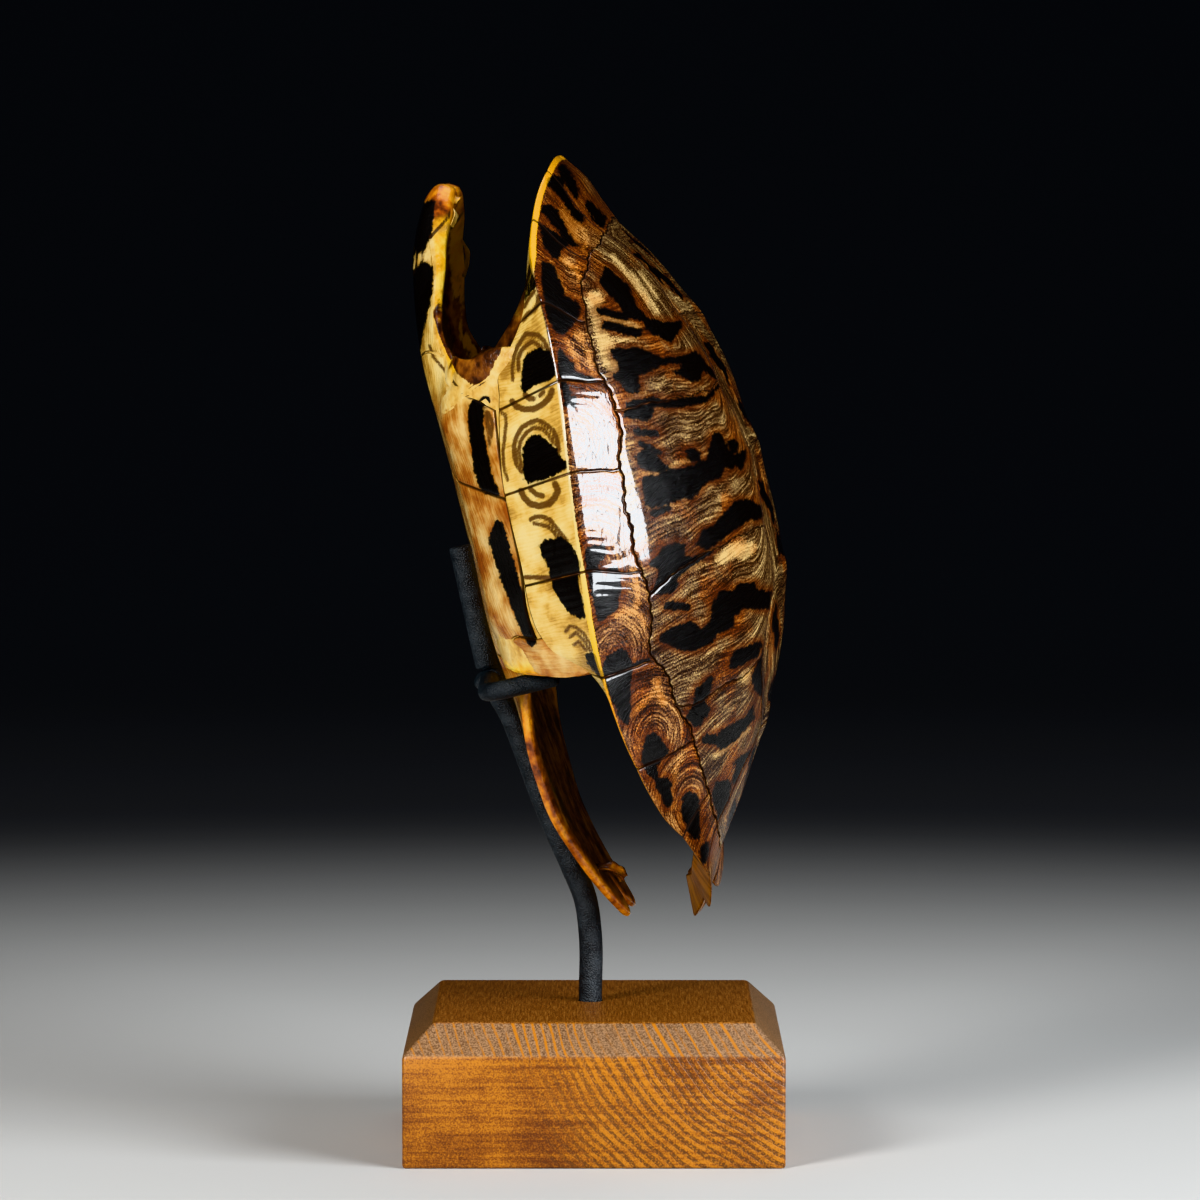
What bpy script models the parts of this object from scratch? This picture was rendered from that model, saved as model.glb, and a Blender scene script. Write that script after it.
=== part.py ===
"""Slider turtle shell, head end up, on a wooden stand with steel rods.

World frame: origin at the centre of the base's underside, +Z up, near side at -Y.
Shell frame: a runs toward the head, l toward the turtle's left and d toward its
back, with d = 0 just above the flat of the plastron.  Sizes are in millimetres
and become metres when a mesh is made.
"""
import math

import bmesh
import bpy
import numpy as np
from mathutils import Matrix, Vector

MM = 0.001
GAP = 0.3
MERGE = 0.00005

# Base: a square block of stained wood, chamfered round the top
BLOCK_SIDE = 101.6
BLOCK_HEIGHT = 38.1
BLOCK_CHAMFER = 8.1
BLOCK_EASE = 0.8
SOCKET_DEPTH = 25.0

# Stand: steel rods in the plane y = 0, as (x, z) points
ROD_RADIUS = 3.175
ROD_SIDES = 12
POST_ROUTE = ((-1, 14), (-1, 40), (-1, 56), (-2.4, 66), (-6, 75), (-10, 84),
              (-14.2, 94), (-18.8, 106.5), (-23, 117))
JOINT = (-28.3, 126.0)
REST_TOP = (-36.3, 162.3)
END_CLEARANCE = 3.4

# Cradle: a thinner rod across the joint, bent into two prongs
PRONG_RADIUS = 2.55
PRONG_HALF_SPAN = 47.5
PRONG_BEND = 8.0
PRONG_REACH = 19.5
PRONG_RISE = math.radians(14)
BEAD_RADIUS = 4.4
BEAD_HEIGHT = 2.9

# Shell: where it stands
SHELL_ORIGIN = (-26.1, 0.6, 155.0)
SHELL_LEAN = math.radians(16)
SHELL_TURN = math.radians(4)

# Carapace in plan: an egg of two half superellipses
A_FRONT = 104.0
A_WIDEST = -8.0
A_REAR = -100.5
HALF_WIDTH = 79.0
FRONT_POWER = 2.6
REAR_POWER = 2.2
SPINE_SHARE = 0.6

# Carapace in profile, as (a, d) stations
RIDGE = ((104, 47.4), (97, 52.2), (89, 55.1), (82, 57.9), (73, 63.3), (63, 68), (54, 71.4),
         (41, 75), (24, 76.5), (6, 77.3), (-20, 75.0), (-36, 70.2), (-56, 60.0), (-76, 47.2),
         (-90, 36.8), (-100, 31))
RIM = ((104, 47.4), (97, 43), (84, 38), (60, 37), (44, 36), (20, 32.3), (-4, 29), (-30, 26.4),
       (-50, 27), (-70, 30.2), (-86, 35.4), (-94, 35), (-100, 30))
DOME_POWER = ((104, 0.85), (60, 0.78), (30, 0.75), (0, 0.75), (-40, 0.88), (-70, 0.95), (-100, 1.0))
KNOBS = (53, 15, -20, -58)
KNOB_HEIGHT = 0.9
KNOB_LENGTH = 5.0
SHELL_THICKNESS = 3.2

# Marginal plates: where each ends along the half rim, and how far its edge stands out
MARGINAL_ENDS = (3.5, 30.5, 54.5, 81.5, 103.5, 127.5, 153, 181, 208, 234, 256, 276)
TOOTH = (0.2, 0.3, 0.3, 0.3, 0.3, 0.3, 0.3, 0.5, 0.9, 1.3, 1.8, 3.8, 4.0)
DROOP = (0, 0, 0, 0, 0, 0, 0, 0, 0, 0, 0, 0, -4)
TAIL_SKEW = 0.45
COLUMNS_PER_PLATE = 4

# Underside of the marginals: width from the rim and height of its inner edge
FLANGE_WIDTH = ((104, 9), (88, 6.5), (67.5, 8), (62, 10.3), (58.5, 12), (50, 13.5), (29, 15), (0, 16),
                (-17, 15), (-24, 12), (-30, 8.5), (-40, 8), (-100, 8))
FLANGE_HEIGHT = ((104, 46), (88, 37), (76, 33.4), (67.5, 29.8), (62, 25.1), (58.5, 21.4), (50, 18.8),
                 (40, 16.3), (29, 14.1), (0, 12.2), (-9, 11.4), (-17, 12.2), (-24, 15.7),
                 (-29, 21.6), (-36, 25), (-50, 26.3), (-70, 29.2), (-86, 34.2), (-100, 29))
BRIDGE_FRONT = 50.0
BRIDGE_REAR = -26.0
BRIDGE_BLEND = 10.0
NOTCH_LIP = ((104, 0), (82, 0), (73, 0.7), (66, 1), (54, 1), (45, 0), (-100, 0))
NOTCH_LIP_REACH = (4.0, 1.6, -3.6)

# Plastron: outline in plan, from the notch at the throat to the notch at the tail
PLASTRON_OUTLINE = ((99.5, 0), (102.5, 4), (102.8, 9), (99.8, 14.5), (93, 20.5), (84, 26.5), (73, 32.5),
                    (64, 37), (57.5, 41.5), (53.5, 47.5), (51.2, 54), (52, 59.5), (50, 63.5), (44, 65),
                    (22, 66), (0, 66), (-17, 67), (-28.5, 71.5), (-29, 66), (-24.8, 56), (-20.5, 46),
                    (-23.5, 42.5), (-32, 41.2), (-46, 39.5), (-60, 35.5), (-71, 30.5), (-75, 28),
                    (-84, 23.5), (-93, 17.5), (-98, 11), (-95.5, 5), (-89.5, 0))
OUTLINE_CORNERS = (4, 11, 17, 20, 26, 29)
PLASTRON_COLUMNS = 52
PLASTRON_SPINE_SHARE = 0.33
PLASTRON_KEEL = ((104, 9.0), (99.5, 6.6), (95, 4.6), (88, 2.2), (79, 0.1), (66, -2.1),
                 (30, -3.4), (8, -4.2), (-18, -5.0), (-34, -3.4), (-44, -2.8), (-56, -1.8),
                 (-66, -1.2), (-74, 0.2), (-86, 3.2), (-98, 7.6))
PLASTRON_FLAT = 42.0
PLASTRON_CROWN = ((104, 3.2), (-20, 3.2), (-45, 1.6), (-98, 1.5))
BRIDGE_CURVE = 1.7
BRIDGE_OVERLAP = 1.4
ROLL = ((104, 1.5), (98, 2.5), (90, 5.4), (84, 6.2), (73, 4.8), (66, 4.2), (58, 5.4), (54, 4.2),
        (51, 2), (44, 0), (-15, 0), (-20.5, 2.6), (-23, 4.4), (-26, 4.8), (-31, 2.4), (-40, 0.5), (-98, 0.5))
ROLL_WIDTH = 12.0
ROLL_END = 60.0
PLASTRON_THICKNESS = 3.2
LIP_THICKNESS = ((104, 9.5), (97, 9), (90, 5.5), (84, 4.2), (66, 3.0), (46, 3.2), (-24, 3.2), (-98, 2.4))
BUTTRESS_FRONT = 8.0
BUTTRESS_REAR = 0.6

OUTER_STEPS = (0, 0.12, 0.25, 0.38, 0.5, 0.62, 0.73, 0.82, 0.89, 0.94, 0.975, 1)
INNER_STEPS = (0.86, 0.76, 0.63, 0.48, 0.32, 0.16, 0)
PLATE_OUTER_STEPS = (0, 0.2, 0.4, 0.58, 0.72, 0.84, 0.93, 1)
PLATE_INNER_STEPS = (0.98, 0.9, 0.75, 0.5, 0.25, 0)
TOOTH_SHARPNESS = 14

COLOURS = {
    "shell": ((0.30, 0.17, 0.07, 1), 0.25, 0.0),
    "base": ((0.33, 0.14, 0.045, 1), 0.45, 0.0),
    "post": ((0.03, 0.033, 0.036, 1), 0.55, 0.0),
    "cradle": ((0.03, 0.033, 0.036, 1), 0.55, 0.0),
    "rest_rod": ((0.03, 0.033, 0.036, 1), 0.55, 0.0),
}


def through(x, stations):
    """Smooth curve through (x, y) stations, level past its ends."""
    points = np.array(sorted(stations), float)
    xs, ys = points[:, 0], points[:, 1]
    gaps = np.diff(xs)
    slopes = np.diff(ys) / gaps
    tangents = np.concatenate((slopes[:1], slopes, slopes[-1:]))[:len(xs)]
    tangents[1:-1] = (slopes[:-1] * gaps[1:] + slopes[1:] * gaps[:-1]) / (gaps[1:] + gaps[:-1])
    tangents[-1] = slopes[-1]
    x = np.clip(np.asarray(x, float), xs[0], xs[-1])
    i = np.clip(np.searchsorted(xs, x, side="right") - 1, 0, len(xs) - 2)
    t = (x - xs[i]) / gaps[i]
    rise = 3 * t ** 2 - 2 * t ** 3
    return (ys[i] + rise * (ys[i + 1] - ys[i])
            + (t ** 3 - 2 * t ** 2 + t) * gaps[i] * tangents[i]
            + (t ** 3 - t ** 2) * gaps[i] * tangents[i + 1])


def smooth_step(x):
    """Ease from 0 to 1 as x goes from 0 to 1."""
    x = np.clip(x, 0, 1)
    return x * x * (3 - 2 * x)


def half_width(a):
    """Half width of the carapace at a station along its length."""
    a = np.asarray(a, float)
    front = a > A_WIDEST
    reach = np.where(front, A_FRONT - A_WIDEST, A_WIDEST - A_REAR)
    power = np.where(front, FRONT_POWER, REAR_POWER)
    share = np.clip(np.abs(a - A_WIDEST) / reach, 0, 1)
    return HALF_WIDTH * np.maximum(1 - share ** power, 0) ** (1 / power)


def keel(a, l):
    """Low knobs along the middle of the back."""
    height = sum(np.exp(-((a - knob) / KNOB_LENGTH) ** 2) for knob in KNOBS)
    return KNOB_HEIGHT * height * np.exp(-(l / KNOB_LENGTH) ** 2)


def dome(a, l):
    """Height of the carapace's outer face."""
    share = np.clip(np.abs(l) / np.maximum(half_width(a), 0.001), 0, 1)
    rim, ridge = through(a, RIM), through(a, RIDGE)
    return rim + (ridge - rim) * (1 - share ** 2) ** through(a, DOME_POWER) + keel(a, l)


def dome_normal(a, l):
    """Unit normal of the carapace's outer face, pointing out."""
    step = 0.5
    slope_a = (dome(a + step, l) - dome(a - step, l)) / (2 * step)
    inward = np.maximum(l - step, 0)
    slope_l = (dome(a, l) - dome(a, inward)) / np.maximum(l - inward, 0.001)
    slope_l = np.where(l > step, slope_l, 0)
    normal = np.stack((-slope_a, -slope_l, np.ones_like(slope_a)), axis=-1)
    return normal / np.linalg.norm(normal, axis=-1, keepdims=True)


def rim_curve():
    """Dense half rim in plan, from the front of the midline to its rear, with its arc lengths."""
    angle = np.linspace(0, math.pi, 4001)
    front = np.cos(angle) > 0
    power = np.where(front, FRONT_POWER, REAR_POWER)
    reach = np.where(front, A_FRONT - A_WIDEST, A_REAR - A_WIDEST)
    a = A_WIDEST + reach * np.abs(np.cos(angle)) ** (2 / power)
    l = HALF_WIDTH * np.abs(np.sin(angle)) ** (2 / power)
    arc = np.concatenate(((0,), np.cumsum(np.hypot(np.diff(a), np.diff(l)))))
    return a, l, arc


def rim_columns():
    """Arc positions of the columns and, at each, how far the plate's edge stands out and droops."""
    length = rim_curve()[2][-1]
    ends = (0,) + MARGINAL_ENDS + (length,)
    arcs, teeth, droops = [0.0], [0.0], [0.0]
    for plate, (start, end) in enumerate(zip(ends[:-1], ends[1:])):
        steps = COLUMNS_PER_PLATE if plate else 1
        for step in range(1, steps + 1):
            share = step / steps
            skew = TAIL_SKEW if plate >= len(TOOTH) - 2 else 1
            bump = math.sin(math.pi * share ** (1 / skew if skew < 1 else 1)) if share < 1 else 0
            arcs.append(start + (end - start) * share)
            teeth.append(TOOTH[plate] * bump ** 0.7)
            droops.append(DROOP[plate] * bump)
    return np.array(arcs), np.array(teeth), np.array(droops)


def carapace_rows():
    """Closed section of the carapace at each column: outer face, flange, inner face."""
    rim_a, rim_l, arc = rim_curve()
    arcs, teeth, droops = rim_columns()
    base = np.stack((np.interp(arcs, arc, rim_a), np.interp(arcs, arc, rim_l)), axis=-1)
    ahead = np.stack((np.interp(arcs + 0.5, arc, rim_a), np.interp(arcs + 0.5, arc, rim_l)), axis=-1)
    behind = np.stack((np.interp(arcs - 0.5, arc, rim_a), np.interp(arcs - 0.5, arc, rim_l)), axis=-1)
    along = (ahead - behind) / np.linalg.norm(ahead - behind, axis=-1, keepdims=True)
    outward = np.stack((-along[:, 1], along[:, 0]), axis=-1)
    outward[0] = (1, 0)
    outward[-1] = (-1, 0)
    outward *= np.sign(np.sum(outward * (base - (A_WIDEST, 0)), axis=-1, keepdims=True))
    spine = np.stack((base[:, 0] * SPINE_SHARE, np.zeros(len(base))), axis=-1)

    rows = []
    for s in OUTER_STEPS:
        plan = spine + (base - spine) * s
        lift = s ** TOOTH_SHARPNESS
        height = dome(plan[:, 0], plan[:, 1]) + droops * lift
        plan = plan + outward * (teeth * lift)[:, None]
        rows.append(np.column_stack((plan, height)))

    width = through(base[:, 0], FLANGE_WIDTH)
    edge_height = through(base[:, 0], FLANGE_HEIGHT) + 0.5 * droops
    edge = np.column_stack((base - outward * width[:, None], edge_height))
    rows.append((rows[-1] + edge) / 2)
    rows.append(edge)

    inner = []
    reach = np.linalg.norm(base - spine, axis=-1)
    for s in INNER_STEPS:
        share = s / INNER_STEPS[0] * np.minimum(INNER_STEPS[0], 1 - (width * 0.6 + 5) / reach)
        plan = spine + (base - spine) * share[:, None]
        face = np.column_stack((plan, dome(plan[:, 0], plan[:, 1])))
        inner.append(face - SHELL_THICKNESS * dome_normal(plan[:, 0], plan[:, 1]))
    bridge = (smooth_step((BRIDGE_FRONT + BRIDGE_BLEND - base[:, 0]) / BRIDGE_BLEND)
              * smooth_step((base[:, 0] - BRIDGE_REAR + BRIDGE_BLEND) / BRIDGE_BLEND))[:, None]
    notch = through(base[:, 0], NOTCH_LIP)
    lip = np.column_stack((edge[:, :2] - outward * (1.6 + NOTCH_LIP_REACH[1] * notch)[:, None],
                           edge[:, 2] + 2.6 + NOTCH_LIP_REACH[2] * notch))
    lip[:, 0] += NOTCH_LIP_REACH[0] * notch
    wall = rows[-2] + np.column_stack((-outward * 3.6, np.full(len(edge), 3.2)))
    free_wall = lip + (inner[0] - lip) * 0.4
    wall = free_wall + (wall - free_wall) * bridge
    wall[:, 0] += 0.5 * NOTCH_LIP_REACH[0] * notch
    rows.append(lip)
    rows.append(wall)
    return np.array(rows + inner)


def plastron_face(a, l):
    """Height of the plastron's and bridge's outer face, without the rolled rim."""
    share = np.minimum(l, PLASTRON_FLAT) / PLASTRON_FLAT
    flat = through(a, PLASTRON_KEEL) + through(a, PLASTRON_CROWN) * share ** 2
    seam_l = half_width(a) - through(a, FLANGE_WIDTH)
    rise = np.maximum(l - PLASTRON_FLAT, 0) / np.maximum(seam_l - PLASTRON_FLAT, 5)
    return flat + (through(a, FLANGE_HEIGHT) - flat) * rise ** BRIDGE_CURVE


def plastron_edge():
    """Points along the plastron's outline, with its sharp corners kept."""
    points = np.array(PLASTRON_OUTLINE, float)
    chord = np.concatenate(((0,), np.cumsum(np.hypot(*np.diff(points, axis=0).T))))
    at = np.linspace(0, chord[-1], PLASTRON_COLUMNS)
    at = np.unique(np.concatenate((at, chord[list(OUTLINE_CORNERS)])))
    a = through(at, list(zip(chord, points[:, 0])))
    l = np.maximum(through(at, list(zip(chord, points[:, 1]))), 0)
    l[[0, -1]] = 0
    return np.column_stack((a, l))


def plastron_rows():
    """Closed section of the plastron and bridge at each column of its outline."""
    edge = plastron_edge()
    a, l = edge.T
    spine = np.column_stack((a * PLASTRON_SPINE_SHARE, np.zeros(len(a))))
    reach = np.linalg.norm(edge - spine, axis=-1)
    across = (edge - spine) / reach[:, None]
    buried = np.clip((l - 58) / 4, 0, 1)
    roll = through(a, ROLL) * np.clip((ROLL_END - l) / 12, 0, 1)

    def outer_height(plan, s):
        rolled = roll * np.clip(1 - (1 - s) * reach / ROLL_WIDTH, 0, 1) ** 1.5
        return plastron_face(plan[:, 0], plan[:, 1]) + rolled + BRIDGE_OVERLAP * buried * s ** 8

    rows = []
    for s in PLATE_OUTER_STEPS:
        plan = spine + (edge - spine) * s
        rows.append(np.column_stack((plan, outer_height(plan, s))))

    lip = through(a, LIP_THICKNESS)
    shift = (BUTTRESS_FRONT * np.exp(-((a - 52) / 5) ** 2)
             - BUTTRESS_REAR * np.exp(-((a + 24) / 5) ** 2)) * smooth_step((l - 36) / 10)
    middle = rows[-1] + np.column_stack((across * 0.25 * lip[:, None], 0.45 * lip))
    middle[:, 0] += shift * 0.45
    middle[:, 1] = np.maximum(middle[:, 1], 0)
    middle[[0, -1], 1] = 0
    rows.append(middle)
    for s in PLATE_INNER_STEPS:
        plan = spine + (edge - spine) * s
        rise = PLASTRON_THICKNESS + (lip - PLASTRON_THICKNESS) * s ** 6
        height = outer_height(plan, s) + rise
        plan[:, 0] += shift * s ** 3
        plan[:, 1] -= np.clip((plan[:, 1] - PLASTRON_FLAT) / 20, 0, 1) * PLASTRON_THICKNESS
        rows.append(np.column_stack((plan, height)))
    return np.array(rows)


def shell_matrix():
    """Placement of the shell frame in the world, in metres."""
    lean, turn = SHELL_LEAN, SHELL_TURN
    head = Vector((-math.sin(lean) * math.cos(turn), math.sin(lean) * math.sin(turn), math.cos(lean)))
    left = Vector((-math.sin(turn), -math.cos(turn), 0))
    back = head.cross(left)
    turned = Matrix((head, left, back)).transposed().to_4x4()
    return Matrix.Translation(Vector(SHELL_ORIGIN) * MM) @ turned


def finish_mesh(bm, name):
    """Turn a bmesh in millimetres into a mesh in metres."""
    bmesh.ops.scale(bm, vec=(MM, MM, MM), verts=bm.verts)
    mesh = bpy.data.meshes.new(name)
    bm.to_mesh(mesh)
    bm.free()
    return mesh


def add_object(name, mesh, collection, matrix=None):
    """Link a new object and give it its material."""
    part = bpy.data.objects.new(name, mesh)
    collection.objects.link(part)
    if matrix is not None:
        part.matrix_world = matrix
    if name in COLOURS:
        mesh.materials.append(make_material(name))
    return part


def make_material(name):
    """Plain finish of one part."""
    colour, roughness, metallic = COLOURS[name]
    material = bpy.data.materials.new(name)
    material.use_nodes = True
    shader = material.node_tree.nodes["Principled BSDF"]
    shader.inputs["Base Color"].default_value = colour
    shader.inputs["Roughness"].default_value = roughness
    shader.inputs["Metallic"].default_value = metallic
    return material


def half_loft(name, rows, collection):
    """Half body from rows of points, closed on the midline plane by its mirror image."""
    row_count, column_count = rows.shape[:2]
    bm = bmesh.new()
    bmesh.ops.create_grid(bm, x_segments=column_count - 1, y_segments=row_count - 1, size=0.5)
    for vert in bm.verts:
        column = round((vert.co.x + 0.5) * (column_count - 1))
        row = round((vert.co.y + 0.5) * (row_count - 1))
        vert.co = rows[row, column]
    part = add_object(name, finish_mesh(bm, name), collection, shell_matrix())
    mirror = part.modifiers.new("Other side", "MIRROR")
    mirror.use_axis = (False, True, False)
    mirror.use_clip = True
    mirror.merge_threshold = MERGE
    return part


def hide_tool(part):
    """Mark an object that only shapes another one."""
    part.hide_render = True
    part.display_type = "WIRE"


def add_boolean(part, tool, operation):
    """Join a tool to a part, or cut it away."""
    change = part.modifiers.new(tool.name, "BOOLEAN")
    change.operation = operation
    change.solver = "EXACT"
    change.object = tool


def build_shell(parts, tools):
    """Carapace joined to the plastron and its bridges."""
    shell = half_loft("shell", carapace_rows(), parts)
    plastron = half_loft("plastron_blank", plastron_rows(), tools)
    hide_tool(plastron)
    add_boolean(shell, plastron, "UNION")
    return shell


def build_base(parts, tools):
    """Chamfered wooden block with the post's hole."""
    bm = bmesh.new()
    bmesh.ops.create_cube(bm, size=1)
    bmesh.ops.scale(bm, vec=(BLOCK_SIDE, BLOCK_SIDE, BLOCK_HEIGHT), verts=bm.verts)
    bmesh.ops.translate(bm, vec=(0, 0, BLOCK_HEIGHT / 2), verts=bm.verts)
    top = [edge for edge in bm.edges if all(v.co.z > BLOCK_HEIGHT - 1 for v in edge.verts)]
    bmesh.ops.bevel(bm, geom=top, offset=BLOCK_CHAMFER, segments=1, affect="EDGES", clamp_overlap=True)
    block = add_object("base", finish_mesh(bm, "base"), parts)
    ease = block.modifiers.new("Eased edges", "BEVEL")
    ease.width = BLOCK_EASE * MM
    ease.segments = 2
    ease.limit_method = "ANGLE"
    ease.angle_limit = math.radians(30)

    bm = bmesh.new()
    bmesh.ops.create_cone(bm, cap_ends=True, segments=24, depth=SOCKET_DEPTH + 2,
                          radius1=ROD_RADIUS + GAP, radius2=ROD_RADIUS + GAP)
    hole = add_object("post_hole", finish_mesh(bm, "post_hole"), tools)
    hole.location = (POST_ROUTE[0][0] * MM, 0, (BLOCK_HEIGHT - SOCKET_DEPTH / 2 + 1) * MM)
    hide_tool(hole)
    add_boolean(block, hole, "DIFFERENCE")
    return block


def smooth_route(points, count):
    """Evenly spaced points on a smooth curve through a route's own points."""
    points = np.array(points, float)
    chord = np.concatenate(((0,), np.cumsum(np.linalg.norm(np.diff(points, axis=0), axis=1))))
    at = np.linspace(0, chord[-1], count)
    return np.column_stack([through(at, list(zip(chord, axis))) for axis in points.T])


def build_rod(name, route, radius, parts):
    """Round rod along a route, as a closed mesh."""
    curve = bpy.data.curves.new(name, "CURVE")
    curve.dimensions = "3D"
    curve.bevel_depth = radius * MM
    curve.bevel_resolution = ROD_SIDES // 4
    curve.use_fill_caps = True
    spline = curve.splines.new("POLY")
    spline.points.add(len(route) - 1)
    for point, place in zip(spline.points, route):
        point.co = (place[0] * MM, place[1] * MM, place[2] * MM, 1)
    wire = bpy.data.objects.new(name + "_route", curve)
    bpy.context.scene.collection.objects.link(wire)
    bpy.context.view_layer.update()
    solid = wire.evaluated_get(bpy.context.evaluated_depsgraph_get())
    mesh = bpy.data.meshes.new_from_object(solid)
    mesh.name = name
    bm = bmesh.new()
    bm.from_mesh(mesh)
    bmesh.ops.remove_doubles(bm, verts=bm.verts, dist=MERGE)
    bm.to_mesh(mesh)
    bm.free()
    bpy.data.objects.remove(wire)
    rod = add_object(name, mesh, parts)
    mesh.shade_smooth()
    mesh.set_sharp_from_angle(angle=math.radians(40))
    return rod


def build_post(parts):
    """Bent rod from the block to just under the joint."""
    end = Vector(JOINT) + (Vector(POST_ROUTE[-1]) - Vector(JOINT)).normalized() * END_CLEARANCE
    route = [(x, 0, z) for x, z in smooth_route(POST_ROUTE + (tuple(end),), 22)]
    return build_rod("post", route, ROD_RADIUS, parts)


def build_rest_rod(parts):
    """Straight rod from just over the joint to the flat cut that the plastron leans on."""
    top = Vector(REST_TOP)
    foot = Vector(JOINT) + (top - Vector(JOINT)).normalized() * END_CLEARANCE
    return build_rod("rest_rod", [(foot.x, 0, foot.y), (top.x, 0, top.y)], ROD_RADIUS, parts)


def prong_route(side):
    """Half of the cradle: out along y, round a bend and forward under the bridge."""
    x, z = JOINT
    forward = Vector((math.cos(PRONG_RISE), 0, math.sin(PRONG_RISE)))
    corner = Vector((x, side * (PRONG_HALF_SPAN - PRONG_BEND), z)) + forward * PRONG_BEND
    route = [Vector((x, 0, z)), Vector((x, side * 14, z)), Vector((x, side * 27, z))]
    for step in range(9):
        turn = math.pi / 2 * step / 8
        route.append(corner - forward * PRONG_BEND * math.cos(turn)
                     + Vector((0, side * PRONG_BEND * math.sin(turn), 0)))
    route.append(route[-1] + forward * (PRONG_REACH - PRONG_BEND))
    return route


def build_cradle(parts, tools):
    """Cross rod with its two prongs and the weld bead at the joint."""
    far, near = prong_route(1), prong_route(-1)
    cradle = build_rod("cradle", far[::-1] + near[1:], PRONG_RADIUS, parts)
    bm = bmesh.new()
    bmesh.ops.create_uvsphere(bm, u_segments=14, v_segments=8, radius=1)
    bmesh.ops.scale(bm, vec=(BEAD_RADIUS, BEAD_RADIUS, BEAD_HEIGHT), verts=bm.verts)
    bead = add_object("weld_bead", finish_mesh(bm, "weld_bead"), tools)
    lean = math.atan2(REST_TOP[0] - JOINT[0], REST_TOP[1] - JOINT[1])
    bead.location = (JOINT[0] * MM, 0, JOINT[1] * MM)
    bead.rotation_euler = (0, lean * 1.6, 0)
    hide_tool(bead)
    add_boolean(cradle, bead, "UNION")
    return cradle


def main():
    """Build every part in a collection of its own name."""
    for old in list(bpy.data.objects):
        bpy.data.objects.remove(old)
    parts = bpy.data.collections.new("slider_turtle_shell")
    tools = bpy.data.collections.new("cutters")
    for collection in (parts, tools):
        bpy.context.scene.collection.children.link(collection)
    build_shell(parts, tools)
    build_base(parts, tools)
    build_post(parts)
    build_cradle(parts, tools)
    build_rest_rod(parts)


main()
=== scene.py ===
"""Slider turtle shell on its stand, dressed and lit.

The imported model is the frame.  Shell sizes are in millimetres in the shell's own
frame: a runs toward the head, l toward the turtle's left and d toward its back.
"""
import math

import bmesh
import bpy
import numpy as np
from mathutils import Matrix, Vector


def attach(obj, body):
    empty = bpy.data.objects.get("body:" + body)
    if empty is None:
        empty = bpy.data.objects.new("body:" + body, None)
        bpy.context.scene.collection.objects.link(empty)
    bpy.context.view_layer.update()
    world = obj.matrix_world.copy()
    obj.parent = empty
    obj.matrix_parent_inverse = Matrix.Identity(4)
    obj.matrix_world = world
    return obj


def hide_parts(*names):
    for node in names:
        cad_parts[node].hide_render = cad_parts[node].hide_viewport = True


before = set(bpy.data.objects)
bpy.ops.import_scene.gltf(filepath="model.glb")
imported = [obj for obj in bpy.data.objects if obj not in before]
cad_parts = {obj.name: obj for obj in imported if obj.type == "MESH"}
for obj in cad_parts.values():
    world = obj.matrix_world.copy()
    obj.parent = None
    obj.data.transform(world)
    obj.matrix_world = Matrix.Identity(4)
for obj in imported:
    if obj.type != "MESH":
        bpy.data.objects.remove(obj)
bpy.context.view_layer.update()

bl_info = {
    "name": "Slider Turtle Shell",
    "version": (1, 0, 0),
    "blender": (4, 5, 0),
    "location": "View3D > Sidebar > Turtle Shell",
    "description": "Builds a mounted slider turtle shell: bone, horn plates, rods and wooden block",
    "category": "Object",
}

MM = 0.001

# Points handled at once where distances are measured, the least gap between the points of a
# border in millimetres, and the lengths in metres under which points and edges of a mesh go
CHUNK, CLOSEST = 2000, 0.12
MERGE_DISTANCE, SLIVER_LENGTH = 0.00002, 0.000005

# Painted values that stand for no marking near, no seam near, and the turtle's right side
UNMARKED, NO_SEAM, RIGHT_SEED = -30.0, 99.0, 40.0

# Where the shell stands
SHELL_ORIGIN = (-26.1, 0.6, 155.0)
SHELL_LEAN = math.radians(16)
SHELL_TURN = math.radians(4)

# Carapace form, the same stations as the solid
A_FRONT, A_WIDEST, A_REAR, HALF_WIDTH = 104.0, -8.0, -100.5, 79.0
FRONT_POWER, REAR_POWER, SPINE_SHARE = 2.6, 2.2, 0.6
RIDGE = ((104, 47.4), (97, 52.2), (89, 55.1), (82, 57.9), (73, 63.3), (63, 68), (54, 71.4),
         (41, 75), (24, 76.5), (6, 77.3), (-20, 75.0), (-36, 70.2), (-56, 60.0), (-76, 47.2),
         (-90, 36.8), (-100, 31))
RIM = ((104, 47.4), (97, 43), (84, 38), (60, 37), (44, 36), (20, 32.3), (-4, 29), (-30, 26.4),
       (-50, 27), (-70, 30.2), (-86, 35.4), (-94, 35), (-100, 30))
DOME_POWER = ((104, 0.85), (60, 0.78), (30, 0.75), (0, 0.75), (-40, 0.88), (-70, 0.95), (-100, 1.0))
KNOBS, KNOB_HEIGHT, KNOB_LENGTH = (53, 15, -20, -58), 0.9, 5.0
SHELL_THICKNESS = 3.2
MARGINAL_ENDS = (3.5, 30.5, 54.5, 81.5, 103.5, 127.5, 153, 181, 208, 234, 256, 276)
TOOTH = (0.2, 0.3, 0.3, 0.3, 0.3, 0.3, 0.3, 0.5, 0.9, 1.3, 1.8, 3.8, 4.0)
DROOP = (0, 0, 0, 0, 0, 0, 0, 0, 0, 0, 0, 0, -4)
TAIL_SKEW, TOOTH_SHARPNESS = 0.45, 14
FLANGE_WIDTH = ((104, 9), (88, 6.5), (67.5, 8), (62, 10.3), (58.5, 12), (50, 13.5), (29, 15), (0, 16),
                (-17, 15), (-24, 12), (-30, 8.5), (-40, 8), (-100, 8))
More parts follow.
